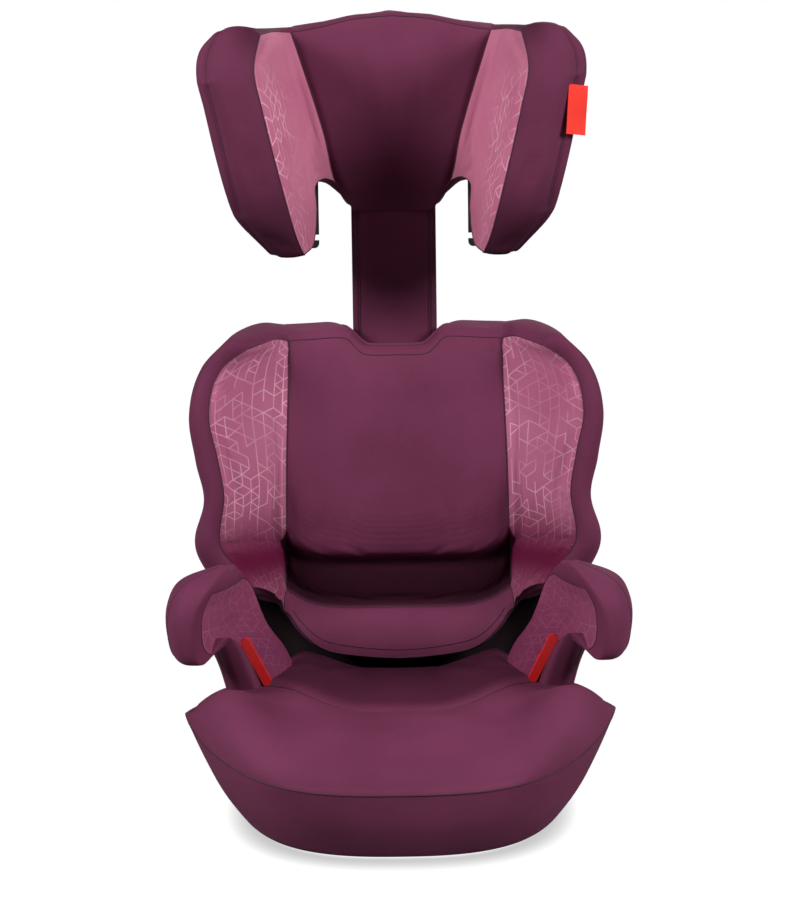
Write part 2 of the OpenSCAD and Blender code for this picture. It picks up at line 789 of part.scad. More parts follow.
// Flat bar inside the neck, which carries the headrest
module head_spine() {
    boss_end = head_rear_y - shell_in - gap;
    color(dark_plastic) on_back() difference() {
        union() {
            block([-36, spine_y[0], spine_low], [36, spine_y[1], spine_wide_h + 2]);
            block([-44, spine_y[0], spine_wide_h], [44, spine_y[1], spine_top]);
            for (sx = [-1, 1]) block([sx * 24 - 4, spine_y[1] - 1, spine_low], [sx * 24 + 4, 0, spine_wide_h]);
            for (sx = [-1, 1], h = spine_screw_h) translate([sx * spine_screw_x, boss_end, h])
                rotate([90, 0, 0]) cylinder(h = boss_end - spine_y[1] + 1, r = 6, $fn = 40);
        }
        block([-11, -20, latch_h - bolt_h / 2 - 0.7], [11, 10, latch_h + bolt_h / 2 + 0.7]);
        for (sx = [-1, 1], h = spine_screw_h) translate([sx * spine_screw_x, 20, h])
            rotate([90, 0, 0]) cylinder(h = 40, r = 2.2, $fn = 32);
    }
}

// Fabric sleeve around the neck
module neck_sleeve() {
    low = 258;
    top = 500;
    color(plum) on_back() difference() {
        block([-neck_half_w, -14, low], [neck_half_w, 1, top]);
        block([-neck_half_w + 3, -11.2, low - 1], [neck_half_w - 3, 0.4, top + 1]);
    }
}

module spine_screws() {
    rear = head_rear_y - shell_out + 0.1;
    color(steel) on_back() for (sx = [-1, 1], h = spine_screw_h)
        translate([sx * spine_screw_x, rear, h]) rear_screw(21);
}

// ---------- Release handle, rod and latch ----------

handle_h = 640;
handle_y = 26;
handle_half_w = 26;
pin_r = 3;
knuckle_r = 6;
ear_t = 4;

// Plate with two ears on the rear of the headrest, which carries the handle's pin
module handle_bracket() {
    half = handle_half_w + 1 + ear_t;
    color(dark_plastic) on_back() translate([0, handle_y, handle_h]) difference() {
        union() {
            block([-half - 8, -12, -20], [half + 8, -8.6, 16]);
            for (sx = [-1, 1]) translate([sx * (half - ear_t / 2), 0, 0]) {
                across(ear_t, knuckle_r);
                block([-ear_t / 2, -9, -knuckle_r], [ear_t / 2, 0, knuckle_r]);
            }
        }
        across(90, pin_r + run_gap);
    }
}

module handle_pin() {
    color(steel) on_back() translate([0, handle_y, handle_h]) across(2 * (handle_half_w + ear_t + 2), pin_r);
}

// Squeeze lever behind the headrest: its grip swings back and pulls the latch
module release_handle() {
    color(dark_plastic) on_back() translate([0, handle_y, handle_h]) difference() {
        union() {
            across(2 * handle_half_w, knuckle_r);
            block([-handle_half_w, -4, -42], [handle_half_w, 4, 0]);
            translate([0, 0, -46]) across(66, 5);
        }
        across(80, pin_r + run_gap);
    }
}

// Pull rod along the spine, from the handle's cable down to the latch
module release_rod() {
    color(steel) on_back() translate([15, -1.4, latch_h + 12]) cylinder(h = 230, r = 1, $fn = 24);
}

module latch_bolt() {
    color(steel) on_back() block([-10, -7, latch_h - bolt_h / 2], [10, 2.6, latch_h + bolt_h / 2]);
}

// ---------- Belt guides and tag on the headrest ----------

// Plate below the wing with a slot for the shoulder belt, which slips in through the mouth
module shoulder_belt_guide(side) {
    width = 24;
    slot_low = 464;
    slot_top = 520;
    color("#2a2023") on_back() on_side(side) translate([77, -2.6, 0]) rotate([90, 0, 0])
        linear_extrude(5) difference() {
            union() {
                translate([5, 456]) square([width - 10, 100]);
                translate([0, 461]) square([width, 95]);
                for (x = [5, width - 5]) translate([x, 461]) circle(5, $fn = 32);
            }
            translate([9, slot_low]) square([8, slot_top - slot_low]);
            translate([-1, slot_low]) square([12, 6]);
        }
}

module side_tag() {
    h = 577;
    tall = 44;
    color(red_plastic) on_back() translate([head_outer_x(h + tall) + 2, -118, h]) cube([1.6, 16, tall]);
}

base_shell();
base_skirt();
base_ribs();
base_feet();
base_screws();
seat_foam();
seat_cover();
hinge_bracket();
hinge_rod();
rod_clips();
arm_frame(-1);  // arm_frame_left
arm_frame(1);  // arm_frame_right
arm_cover(-1);  // arm_cover_left
arm_cover(1);  // arm_cover_right
lap_belt_guide(-1);  // lap_belt_guide_left
lap_belt_guide(1);  // lap_belt_guide_right
back_shell();
back_foam();
lumbar_pad();
back_cover();
neck_collar();
neck_channel();
height_rack();
back_screws();
back_hook(-1);  // back_hook_left
back_hook(1);  // back_hook_right
head_shell();
head_foam();
head_cover();
wing_insert(-1);  // wing_insert_left
wing_insert(1);  // wing_insert_right
head_spine();
neck_sleeve();
spine_screws();
handle_bracket();
handle_pin();
shoulder_belt_guide(-1);  // shoulder_belt_guide_left
shoulder_belt_guide(1);  // shoulder_belt_guide_right
side_tag();
release_handle();
release_rod();
latch_bolt();
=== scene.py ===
"""Looks of a high-back booster seat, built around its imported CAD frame.

Shapes are worked out in millimetres. Backrest and headrest pieces use the backrest's own axes
(origin on the hinge rod, third axis up along the lean), base pieces use the floor under the
middle of the base. Both are turned into the row frame, in metres, when a mesh is made.
"""

import math

import bpy
import numpy as np
from mathutils import Euler, Matrix, Vector


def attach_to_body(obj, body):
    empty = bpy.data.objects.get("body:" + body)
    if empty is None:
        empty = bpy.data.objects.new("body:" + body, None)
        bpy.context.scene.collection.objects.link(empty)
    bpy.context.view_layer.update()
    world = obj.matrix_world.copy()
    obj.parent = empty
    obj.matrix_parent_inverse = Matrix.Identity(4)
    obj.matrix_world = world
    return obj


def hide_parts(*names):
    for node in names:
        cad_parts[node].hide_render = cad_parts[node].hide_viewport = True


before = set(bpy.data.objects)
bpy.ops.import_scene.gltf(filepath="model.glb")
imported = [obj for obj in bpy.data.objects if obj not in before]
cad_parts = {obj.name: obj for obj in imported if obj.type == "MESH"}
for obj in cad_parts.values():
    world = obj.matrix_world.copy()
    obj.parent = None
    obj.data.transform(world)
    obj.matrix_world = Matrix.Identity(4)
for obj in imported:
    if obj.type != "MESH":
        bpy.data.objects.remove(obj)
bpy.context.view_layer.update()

# ---------- Sizes, in millimetres ----------

LEAN = math.radians(6)
HINGE_Y = 120
HINGE_Z = 72
PLAN_Y = HINGE_Y - 171

SEAT_HALF_W = 213
SEAT_FRONT = 168
FLOOR_HALF_W = 152
PLAN_POWER = 2.6

BACK_HALF_W = 209
BACK_WING = 106
BACK_REAR_Y = 15
HEAD_HALF_W = 190
HEAD_LOW = 449
HEAD_H = 247
HEAD_WING = 152
HEAD_REAR_Y = 17
NECK_HALF_W = 43.5
SHELL_DEPTH = 5.6  # the shells lie this far inside the covers' rear skin
SHELL_REACH = 0.93  # share of the skin's width that they cover
WALL = 4

# ---------- Maths helpers ----------


def mix(a, b, t):
    """From a at t = 0 to b at t = 1."""
    return a + (b - a) * t


def ease(t):
    """Soft step from 0 to 1."""
    c = np.clip(t, 0, 1)
    return c * c * (3 - 2 * c)


def roll(t):
    """Quarter circle from 0 to 1, for an edge that rolls over."""
    c = 1 - np.clip(t, 0, 1)
    return np.sqrt(1 - c * c)


def bump(distance, width):
    """1 on a line and falling to 0 away from it."""
    return np.exp(-((distance / width) ** 2))


def through(keys, t):
    """Smooth curve through (position, value) keys, flat beyond both ends."""
    x, y = np.array(keys, float).T
    before = np.maximum(np.arange(len(x)) - 1, 0)
    after = np.minimum(np.arange(len(x)) + 1, len(x) - 1)
    slope = (y[after] - y[before]) / (x[after] - x[before])
    t = np.clip(np.asarray(t, float), x[0], x[-1])
    i = np.clip(np.searchsorted(x, t) - 1, 0, len(x) - 2)
    h = x[i + 1] - x[i]
    s = (t - x[i]) / h
    rise = y[i + 1] - y[i]
    curve = h * s * (1 - s) * ((1 - s) * slope[i] - s * slope[i + 1])
    return y[i] + rise * s * s * (3 - 2 * s) + curve


def power(c, e):
    """Power that keeps the sign, for rounded rectangles."""
    return np.sign(c) * np.abs(c) ** e


def bend(a, b, c, t):
    """Curve that leaves a towards b and arrives at c."""
    return a * (1 - t) ** 2 + b * 2 * t * (1 - t) + c * t * t


def unit(v):
    """Vectors scaled to length 1."""
    length = np.linalg.norm(v, axis=-1, keepdims=True)
    return v / np.maximum(length, 1e-9)


def points(x, y, z):
    """One array of points from three arrays of coordinates."""
    x, y, z = np.broadcast_arrays(x, y, z)
    return np.stack([x, y, z], axis=-1).astype(float)


def from_back(p):
    """Backrest axes in millimetres to the row frame in metres."""
    c, s = math.cos(LEAN), math.sin(LEAN)
    y = p[..., 1] * c + p[..., 2] * s + HINGE_Y
    z = -p[..., 1] * s + p[..., 2] * c + HINGE_Z
    return points(p[..., 0], y, z) / 1000


def from_base(p):
    """Base axes in millimetres to the row frame in metres."""
    return points(p[..., 0], p[..., 1] + PLAN_Y, p[..., 2]) / 1000


def lengths(line):
    """Distance travelled along a line of points."""
    steps = np.linalg.norm(np.diff(line, axis=0), axis=1)
    return np.concatenate([[0], np.cumsum(steps)])


# ---------- Mesh helpers ----------


def attach(obj, body, slot, *nodes):
    """Lets a piece ride on a body and hides the CAD nodes that it stands for. The slot argument is not
    used.
    """
    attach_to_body(obj, body)
    if nodes:
        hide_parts(*nodes)


def grid_faces(rows, cols, closed=False):
    """Quads of a grid stored row by row, facing out when columns run right and rows run up."""
    r, c = np.meshgrid(np.arange(rows - 1), np.arange(cols if closed else cols - 1), indexing="ij")
    d = (c + 1) % cols
    faces = np.stack([r * cols + c, r * cols + d, (r + 1) * cols + d, (r + 1) * cols + c], axis=-1)
    return faces.reshape(-1, 4)


def make_mesh(name, verts, faces, material, uvs=None):
    """Smooth mesh object from points in metres. uvs holds one pair for each corner of each face."""
    mesh = bpy.data.meshes.new(name)
    mesh.from_pydata(verts.reshape(-1, 3).tolist(), [], [list(map(int, f)) for f in faces])
    if uvs is not None:
        layer = mesh.uv_layers.new(name="cloth")
        layer.data.foreach_set("uv", np.asarray(uvs, np.float32).ravel())
    mesh.polygons.foreach_set("use_smooth", [True] * len(mesh.polygons))
    mesh.materials.append(material)
    mesh.update()
    obj = bpy.data.objects.new(name, mesh)
    bpy.context.scene.collection.objects.link(obj)
    return obj


def grid_uv(grid):
    """Flat cloth coordinates of a grid in metres: mean travelled distance along rows and columns."""
    along = np.mean([lengths(row) for row in grid], axis=0)
    up = np.mean([lengths(grid[:, c]) for c in range(grid.shape[1])], axis=0)
    u, v = np.meshgrid(along - along.mean(), up)
    return np.stack([u, v], axis=-1) / 1000


def grid_object(name, grid, material, place, closed=False, flip=False, uv=None):
    """Object from a grid of points in millimetres, moved into the row frame by place."""
    rows, cols = grid.shape[:2]
    faces = grid_faces(rows, cols, closed)
    if flip:
        faces = faces[:, ::-1]
    uv = grid_uv(grid) if uv is None else uv
    return make_mesh(name, place(grid), faces, material, uv.reshape(-1, 2)[faces.ravel()])


def thick_grid(name, outer, inner, material, place):
    """Closed solid between two grids, such as a moulded shell. outer is the side that shows."""
    rows, cols = outer.shape[:2]
    front = grid_faces(rows, cols)
    rear = front[:, ::-1] + rows * cols
    rim = loop_of(rows, cols)
    after = np.roll(rim, -1)
    sides = np.stack([after, rim, rim + rows * cols, after + rows * cols], axis=-1)
    verts = np.concatenate([place(outer).reshape(-1, 3), place(inner).reshape(-1, 3)])
    obj = make_mesh(name, verts, np.concatenate([front, rear, sides]), material)
    crease = obj.modifiers.new("edges", "EDGE_SPLIT")
    crease.split_angle = math.radians(40)
    return obj


def loop_of(rows, cols):
    """Indices around a grid's edge: along the bottom, up the right, along the top, down the left."""
    low = np.arange(cols)
    right = np.arange(1, rows) * cols + cols - 1
    top = (rows - 1) * cols + np.arange(cols - 2, -1, -1)
    left = np.arange(rows - 2, 0, -1) * cols
    return np.concatenate([low, right, top, left])


def tube(name, line, radius, material, place, closed=False, sides=8):
    """Round cord along a line of points in millimetres."""
    line = np.asarray(line, float)
    if closed:
        along = unit(np.roll(line, -1, axis=0) - np.roll(line, 1, axis=0))
    else:
        along = unit(np.gradient(line, axis=0))
    deep = np.ptp(line, axis=0).argmax() == 1
    side = unit(np.cross(along, [1, 0.013, 0.021] if deep else [0.013, 1, 0.021]))
    up = np.cross(side, along)
    a = 2 * math.pi * np.arange(sides) / sides
    ring = np.cos(a)[None, :, None] * side[:, None] + np.sin(a)[None, :, None] * up[:, None]
    rings = line[:, None] + ring * radius
    if closed:
        rings = np.concatenate([rings, rings[:1]])
    return grid_object(name, rings, material, place, closed=True)


def normals_of(grid):
    """Outward unit normals of a grid whose columns run right and rows run up."""
    along = np.gradient(grid, axis=1)
    up = np.gradient(grid, axis=0)
    return unit(np.cross(along, up))


# ---------- Padded cloth, simulated ----------


def fill_between(coarse, shape, closed):
    """Grid of displacements, stretched smoothly to a finer grid's size."""
    rows, cols = shape
    if closed:
        coarse = np.concatenate([coarse, coarse[:, :1]], axis=1)
    r = np.linspace(0, coarse.shape[0] - 1, rows)
    c = np.linspace(0, coarse.shape[1] - 1, cols + 1 if closed else cols)[:cols]
    r0 = np.minimum(r.astype(int), coarse.shape[0] - 2)
    c0 = np.minimum(c.astype(int), coarse.shape[1] - 2)
    fr = ease(r - r0)[:, None, None]
    fc = ease(c - c0)[None, :, None]
    low = mix(coarse[r0][:, c0], coarse[r0][:, c0 + 1], fc)
    high = mix(coarse[r0 + 1][:, c0], coarse[r0 + 1][:, c0 + 1], fc)
    return mix(low, high, fr)


def blown(grid, pinned, pressure, cap, step=3, closed=False):
    """The grid after its cloth is blown against its seams, where pinned is 1. Moves at most cap."""
    rows, cols = grid.shape[:2]
    r = np.unique(np.round(np.linspace(0, rows - 1, rows // step + 1)).astype(int))
    if closed:
        c = np.round(np.linspace(0, cols, cols // step + 1)).astype(int)[:-1]
    else:
        c = np.unique(np.round(np.linspace(0, cols - 1, cols // step + 1)).astype(int))
    cage = grid[r][:, c]
    pins = pinned[r][:, c]
    obj = make_mesh("cage", cage / 1000, grid_faces(len(r), len(c), closed), bpy.data.materials[0])
    group = obj.vertex_groups.new(name="seams")
    for i, weight in enumerate(pins.ravel()):
        group.add([i], float(weight), "REPLACE")
    cloth = obj.modifiers.new("cloth", "CLOTH")
    cloth.settings.vertex_group_mass = "seams"
    cloth.settings.quality = 6
    cloth.settings.mass = 0.25
    cloth.settings.tension_stiffness = 12
    cloth.settings.compression_stiffness = 12
    cloth.settings.shear_stiffness = 6
    cloth.settings.bending_stiffness = 0.6
    cloth.settings.use_pressure = True
    cloth.settings.uniform_pressure_force = pressure
    cloth.settings.effector_weights.gravity = 0
    cloth.collision_settings.use_collision = False
    cloth.point_cache.frame_start = 1
    cloth.point_cache.frame_end = 20
    scene = bpy.context.scene
    for f in range(1, 21):
        scene.frame_set(f)
    graph = bpy.context.evaluated_depsgraph_get()
    result = obj.evaluated_get(graph).to_mesh()
    moved = np.zeros(len(result.vertices) * 3)
    result.vertices.foreach_get("co", moved)
    moved = moved.reshape(cage.shape) * 1000 - cage
    obj.evaluated_get(graph).to_mesh_clear()
    mesh = obj.data
    bpy.data.objects.remove(obj)
    bpy.data.meshes.remove(mesh)
    scene.frame_set(1)
    size = np.linalg.norm(moved, axis=-1, keepdims=True)
    moved = moved * (cap * np.tanh(size / cap) / np.maximum(size, 1e-9))
    return grid + fill_between(moved, (rows, cols), closed)


# ---------- Materials ----------


def new_material(name, colour, roughness):
    """Plain material, which the functions below build on."""
    material = bpy.data.materials.new(name)
    material.use_nodes = True
    shader = material.node_tree.nodes["Principled BSDF"]
    shader.inputs["Base Color"].default_value = linear(colour)
    shader.inputs["Roughness"].default_value = roughness
    return material


def linear(colour):
    """Hex colour such as 5a2340 as linear red, green, blue and alpha."""
    channels = [int(colour[i : i + 2], 16) / 255 for i in (0, 2, 4)]
    return [c / 12.92 if c < 0.04045 else ((c + 0.055) / 1.055) ** 2.4 for c in channels] + [1]


class Wires:
    """Short way to add and link shader nodes."""

    def __init__(self, material):
        self.tree = material.node_tree
        self.shader = self.tree.nodes["Principled BSDF"]

    def add(self, kind, **values):
        node = self.tree.nodes.new(kind)
        for key, value in values.items():
            setattr(node, key, value)
        return node

    def link(self, source, target):
        self.tree.links.new(source, target)

    def put(self, value, socket):
        """Links an output, or sets a plain value."""
        if hasattr(value, "is_output"):
            self.link(value, socket)
        else:
            socket.default_value = value

    def maths(self, operation, a, b=0.0, c=0.0):
        node = self.add("ShaderNodeMath", operation=operation)
        for value, socket in zip((a, b, c), node.inputs):
            self.put(value, socket)
        return node.outputs[0]

    def turned(self, a, b, angle):
        """a times the cosine of an angle plus b times its sine."""
        first = self.maths("MULTIPLY", a, math.cos(angle))
        return self.maths("ADD", first, self.maths("MULTIPLY", b, math.sin(angle)))

    def noise(self, where, scale, detail=2.0):
        node = self.add("ShaderNodeTexNoise")
        self.put(where, node.inputs["Vector"])
        node.inputs["Scale"].default_value = scale
        node.inputs["Detail"].default_value = detail
        return node.outputs["Fac"]

    def ramp(self, value, low, high, a=0.0, b=1.0):
        node = self.add("ShaderNodeMapRange")
        self.put(value, node.inputs["Value"])
        for socket, number in zip(("From Min", "From Max", "To Min", "To Max"), (low, high, a, b)):
            node.inputs[socket].default_value = number
        return node.outputs["Result"]

    def relief(self, height, strength, distance):
        """Surface relief of the shader, distance deep in metres."""
        node = self.add("ShaderNodeBump")
        node.inputs["Strength"].default_value = strength
        node.inputs["Distance"].default_value = distance
        self.link(height, node.inputs["Height"])
        self.link(node.outputs[0], self.shader.inputs["Normal"])

    def mix_colour(self, factor, a, b):
        node = self.add("ShaderNodeMix", data_type="RGBA")
        self.put(factor, node.inputs["Factor"])
        self.put(a, node.inputs[6])
        self.put(b, node.inputs[7])
        return node.outputs[2]


def lattice_lines(wires, across, up, pitch, width, share):
    """Broken lines of a triangular lattice: 1 on a line, each short stretch drawn or not at random."""
    height = pitch * math.sqrt(3) / 2
    total = None
    for i, turn in enumerate((90, 30, 150)):
        a = math.radians(turn)
        along = wires.turned(across, up, a)
        aside = wires.turned(up, across, -a)
        line = wires.maths("DIVIDE", aside, height)
        number = wires.maths("ROUND", line)
        off = wires.maths("ABSOLUTE", wires.maths("SUBTRACT", line, number))
        distance = wires.maths("MULTIPLY", off, height)
        shift = wires.maths("MULTIPLY", number, 0.5)
        place = wires.maths("ADD", wires.maths("DIVIDE", along, pitch), shift)
        stretch = wires.maths("FLOOR", place)
        key = wires.add("ShaderNodeCombineXYZ")
        wires.link(number, key.inputs[0])
        wires.link(stretch, key.inputs[1])
        key.inputs[2].default_value = 3.7 * i
        chance = wires.add("ShaderNodeTexWhiteNoise", noise_dimensions="3D")
        wires.link(key.outputs[0], chance.inputs["Vector"])
        drawn = wires.maths("LESS_THAN", chance.outputs["Value"], share[i])
        edge = wires.ramp(distance, width * 0.35, width * 0.65, 1, 0)
        mark = wires.maths("MULTIPLY", drawn, edge)
        total = mark if total is None else wires.maths("MAXIMUM", total, mark)
    return total


def knit(name, colour, light, deep, sheen=0.15, pattern=0.0, fade=None):
    """Fine knitted fabric. pattern is the strength of its broken lattice lines.

    A piece's "shade" attribute is painted shade: it turns the colour towards deep, the shade tone, and
    lowers sheen and shine where folds, hollows and low parts lie in shadow."""
    material = new_material(name, colour, 0.82)
    w = Wires(material)
    uv = w.add("ShaderNodeUVMap", uv_map="cloth").outputs["UV"]
    place = w.add("ShaderNodeTexCoord").outputs["Object"]
    broad = w.ramp(w.noise(place, 9, 3), 0.3, 0.7, 0, 1)
    fleck = w.ramp(w.noise(place, 1600, 1), 0.3, 0.7, 0, 1)
    tone = w.mix_colour(w.maths("MULTIPLY", broad, 0.30), linear(colour), linear(light))
    tone = w.mix_colour(w.maths("MULTIPLY", fleck, 0.22), tone, linear(light))
    split = w.add("ShaderNodeSeparateXYZ")
    w.link(uv, split.inputs[0])
    if pattern:
        lines = lattice_lines(w, split.outputs[0], split.outputs[1], 0.0125, 0.0011, (0.72, 0.5, 0.5))
        patchy = w.ramp(w.noise(uv, 14, 1), 0.36, 0.58, 0.25, 1)
        strength = w.maths("MULTIPLY", w.maths("MULTIPLY", lines, patchy), pattern)
        if fade:
            window = w.add("ShaderNodeAttribute", attribute_name=fade).outputs["Fac"]
            strength = w.maths("MULTIPLY", strength, window)
        tone = w.mix_colour(strength, tone, linear("e8b9c8"))
    # painted shade: the shade attribute mixes in the deep tone and lowers sheen and specular
    shade = w.add("ShaderNodeAttribute", attribute_name="shade").outputs["Fac"]
    tone = w.mix_colour(shade, tone, linear(deep))
    w.link(tone, w.shader.inputs["Base Color"])
    w.link(w.ramp(shade, 0, 1, sheen, 0), w.shader.inputs["Sheen Weight"])
    w.shader.inputs["Sheen Roughness"].default_value = 0.45
    w.shader.inputs["Sheen Tint"].default_value = linear(light)
    w.link(w.ramp(shade, 0, 1, 0.25, 0.05), w.shader.inputs["Specular IOR Level"])
    wale = w.maths("SINE", w.maths("MULTIPLY", split.outputs[0], 2 * math.pi / 0.0011))
    course = w.maths("SINE", w.maths("MULTIPLY", split.outputs[1], 2 * math.pi / 0.0009))
    weave = w.maths("MULTIPLY", wale, course)
    w.relief(w.maths("ADD", w.maths("MULTIPLY", weave, 0.5), w.noise(place, 700, 2)), 0.25, 0.0004)
    return material


def plastic(name, colour, roughness=0.5):
    """Moulded plastic with a fine matt grain and slight changes of tone."""
    material = new_material(name, colour, roughness)
    w = Wires(material)
    place = w.add("ShaderNodeTexCoord").outputs["Object"]
    soft = w.ramp(w.noise(place, 14, 3), 0.35, 0.65, 0, 0.16)
    tone = w.mix_colour(soft, linear(colour), [c * 1.5 for c in linear(colour)[:3]] + [1])
    w.link(tone, w.shader.inputs["Base Color"])
    wear = w.ramp(w.noise(place, 40, 3), 0.3, 0.7, roughness - 0.07, roughness + 0.1)
    w.link(wear, w.shader.inputs["Roughness"])
    w.relief(w.noise(place, 900, 2), 0.12, 0.0003)
    return material


def metal(name, colour, roughness=0.3):
    """Brushed steel with faint streaks."""
    material = new_material(name, colour, roughness)
    w = Wires(material)
    w.shader.inputs["Metallic"].default_value = 1
    place = w.add("ShaderNodeTexCoord").outputs["Object"]
    streaks = w.ramp(w.noise(place, 220, 3), 0.3, 0.7, roughness - 0.08, roughness + 0.14)
    w.link(streaks, w.shader.inputs["Roughness"])
    return material


# The third colour of each knit is its painted shade tone, mixed in by the piece's shade attribute.
PLUM = knit("plum_knit", "501834", "7c395b", "1f0712")
PINK = knit("pink_knit", "98486a", "c0809a", "5a1434", sheen=0.25, pattern=0.5)
PINK_HEAD = knit("pink_knit_head", "9d4d6c", "c7889c", "6a2444", sheen=0.25, pattern=0.6, fade="shown")
PINK_PLAIN = knit("pink_knit_arm", "7c2f53", "a05a7c", "4c1230", pattern=0.12)
# near-black lining colour: painted shadow in the gap behind the lower flap
SHADOW_LINING = knit("lining", "14070e", "241019", "14070e", sheen=0.0)
THREAD = new_material("thread", "3a1226", 0.8)
SHELL = plastic("shell_grey", "6f7680", 0.42)
DARK = plastic("dark_grey", "2c2c30", 0.5)
BASE_GREY = plastic("base_grey", "3b3c41", 0.5)
STEEL = metal("steel", "b9bcc0")
RUBBER = plastic("rubber", "161616", 0.75)
RED = plastic("guide_red", "c81e1e", 0.4)
TAG = knit("tag_red", "d92a20", "ef4a3a", "8c1610", sheen=0.1)


# ---------- Padded shapes of the backrest and headrest ----------


class Shape:
    """A padded body: front and rear skins, as functions of u and height, and its lower and upper edge.

    u runs from the middle (0) over the panel seam to the front rim of a wing (1)."""

    def __init__(self, front, rear, low, top, seam):
        self.front = front
        self.rear = rear
        self.low = low
        self.top = top
        self.seam = seam

    def height(self, u, t):
        return mix(self.low(np.abs(u)), self.top(np.abs(u)), t)

    def on_front(self, u, t):
        h = self.height(u, t)
        x, y = self.front(np.abs(u), h)
        return points(x * np.sign(u), y, h)

    def on_rear(self, u, t):
        h = self.height(u, t)
        x, y = self.rear(np.abs(u), h)
        return points(x * np.sign(u), y, h)


def columns(seam, inner, outer):
    """Column positions from -1 to 1 with one column exactly on each panel seam."""
    middle = np.linspace(-seam, seam, 2 * inner + 1)
    wing = np.linspace(seam, 1, outer + 1)[1:]
    return np.concatenate([-wing[::-1], middle, wing])


def rim_grid(shape, front, u, t, spec):
    """Band over a cushion's rim and its hem on the rear skin, as rings around the front grid."""
    rows, cols = front.shape[:2]
    loop = loop_of(rows, cols)
    uu, tt = np.meshgrid(u, t)
    ub, tb = uu.ravel()[loop], tt.ravel()[loop]
    start = front.reshape(-1, 3)[loop]
    tucked = spec["tuck"](ub, tb, start)
    share = tucked[1][:, None]
    end = mix(shape.on_rear(ub, tb), tucked[0], share)
    across = end - start
    middle = (start + end) / 2
    along = np.roll(middle, -1, axis=0) - np.roll(middle, 1, axis=0)
    for _ in range(6):
        along = (np.roll(along, 1, axis=0) + along + np.roll(along, -1, axis=0)) / 3
    out = unit(np.cross(across, along))
    swell = spec["swell"](ub, tb)[:, None] * (1 - (1 - spec["tuck_swell"]) * share)
    width = np.linalg.norm(across, axis=1, keepdims=True)
    rings = []
    for b in np.linspace(0, 1, spec["band_steps"] + 1):
        puff = swell * (4 * b * (1 - b)) ** 0.75
        groove = spec["groove"] * bump((b - spec["stitch"]) * width, 3)
        rings.append(start + across * b + out * (puff - groove * (share < 0.5)))
    for e in np.linspace(0, 1, spec["hem_steps"] + 1)[1:]:
        ue = ub * (1 - spec["hem_u"] * e)
        te = 0.5 + (tb - 0.5) * (1 - spec["hem_t"] * e)
        inside = tucked[0] + tucked[2] * e
        rings.append(mix(shape.on_rear(ue, te), inside, share))
    lip = unit(shape.on_front(ue, te) - shape.on_rear(ue, te))
    rings.append(rings[-1] + lip * 5 * (1 - share))
    return np.array(rings), loop


def smooth_rings(rings, first, passes=2):
    """Rounds the corners of the rings after the first few."""
    for _ in range(passes):
        near = (np.roll(rings, 1, axis=1) + 2 * rings + np.roll(rings, -1, axis=1)) / 4
        rings[first:] = near[first:]
    return rings


def seam_distance(front, left, right):
    """Sideways distance of each point from the nearer panel seam."""
    to_left = np.abs(front[..., 0] - front[:, left : left + 1, 0])
    to_right = np.abs(front[..., 0] - front[:, right : right + 1, 0])
    return np.minimum(to_left, to_right)


def seam_lines(u, seam):
    """Indices of the two columns on the panel seams."""
    return [int(np.argmin(np.abs(u + seam))), int(np.argmin(np.abs(u - seam)))]


def head_f(h):
    """Height on the headrest as a share: 0 at its foot, 1 at its top."""
    return (h - HEAD_LOW) / HEAD_H


def head_seam_x(f):
    """Panel seam of the headrest, as a distance from its middle at height f (0 low, 1 high)."""
    keys = [(0.2, 0.262), (0.31, 0.31), (0.49, 0.358), (0.61, 0.40), (0.77, 0.463), (0.93, 0.53)]
    return HEAD_HALF_W * through(keys, f)


def head_rim_y(f):
    """How far forward the rim of the headrest's wings stands."""
    return -HEAD_WING * through([(0, 0.80), (0.3, 0.94), (0.7, 1), (0.95, 0.91)], f)


def head_front(u, h):
    """Front skin of the headrest: a hollow middle, and wings that bend forward to their rims."""
    f = head_f(h)
    seam_x = head_seam_x(f)
    rim_keys = [(0, 0.44), (0.11, 0.50), (0.31, 0.568), (0.63, 0.663), (0.785, 0.70), (0.94, 0.66)]
    rim_x = HEAD_HALF_W * through(rim_keys, f)
    rim_y = head_rim_y(f)
    centre = -through([(0.18, 14.6), (0.26, 18), (0.45, 32), (0.8, 38), (1, 38)], f)
    t = (u - SEAM_HEAD) / (1 - SEAM_HEAD)
    tc = np.clip(t, 0, 1)
    inner_x = seam_x * u / SEAM_HEAD
    inner_y = centre - 4 * (u / SEAM_HEAD) ** 2
    outer_x = bend(seam_x, mix(seam_x, rim_x, 0.8), rim_x, tc)
    outer_y = bend(centre - 4, centre - 12, rim_y, tc)
    return np.where(t < 0, inner_x, outer_x), np.where(t < 0, inner_y, outer_y)


def head_rear(u, h):
    """Rear skin of the headrest: a flat middle, and sides that run forward to the rims."""
    f = head_f(h)
    seam_x = 8 + head_seam_x(f)
    outline_keys = [
        (0, 0.59), (0.08, 0.69), (0.19, 0.815), (0.33, 0.885), (0.68, 0.982),
        (0.79, 1), (0.86, 0.98), (0.91, 0.92), (0.96, 0.82),
    ]
    side = HEAD_HALF_W * through(outline_keys, f)
    rim_y = head_rim_y(f) + 10
    t = (u - SEAM_HEAD) / (1 - SEAM_HEAD)
    tc = np.clip(t, 0, 1)
    x = np.where(t < 0, seam_x * u / SEAM_HEAD, bend(seam_x, side, side, tc))
    y = np.where(t < 0, HEAD_REAR_Y, bend(HEAD_REAR_Y, HEAD_REAR_Y - 3, rim_y, tc))
    return x, y


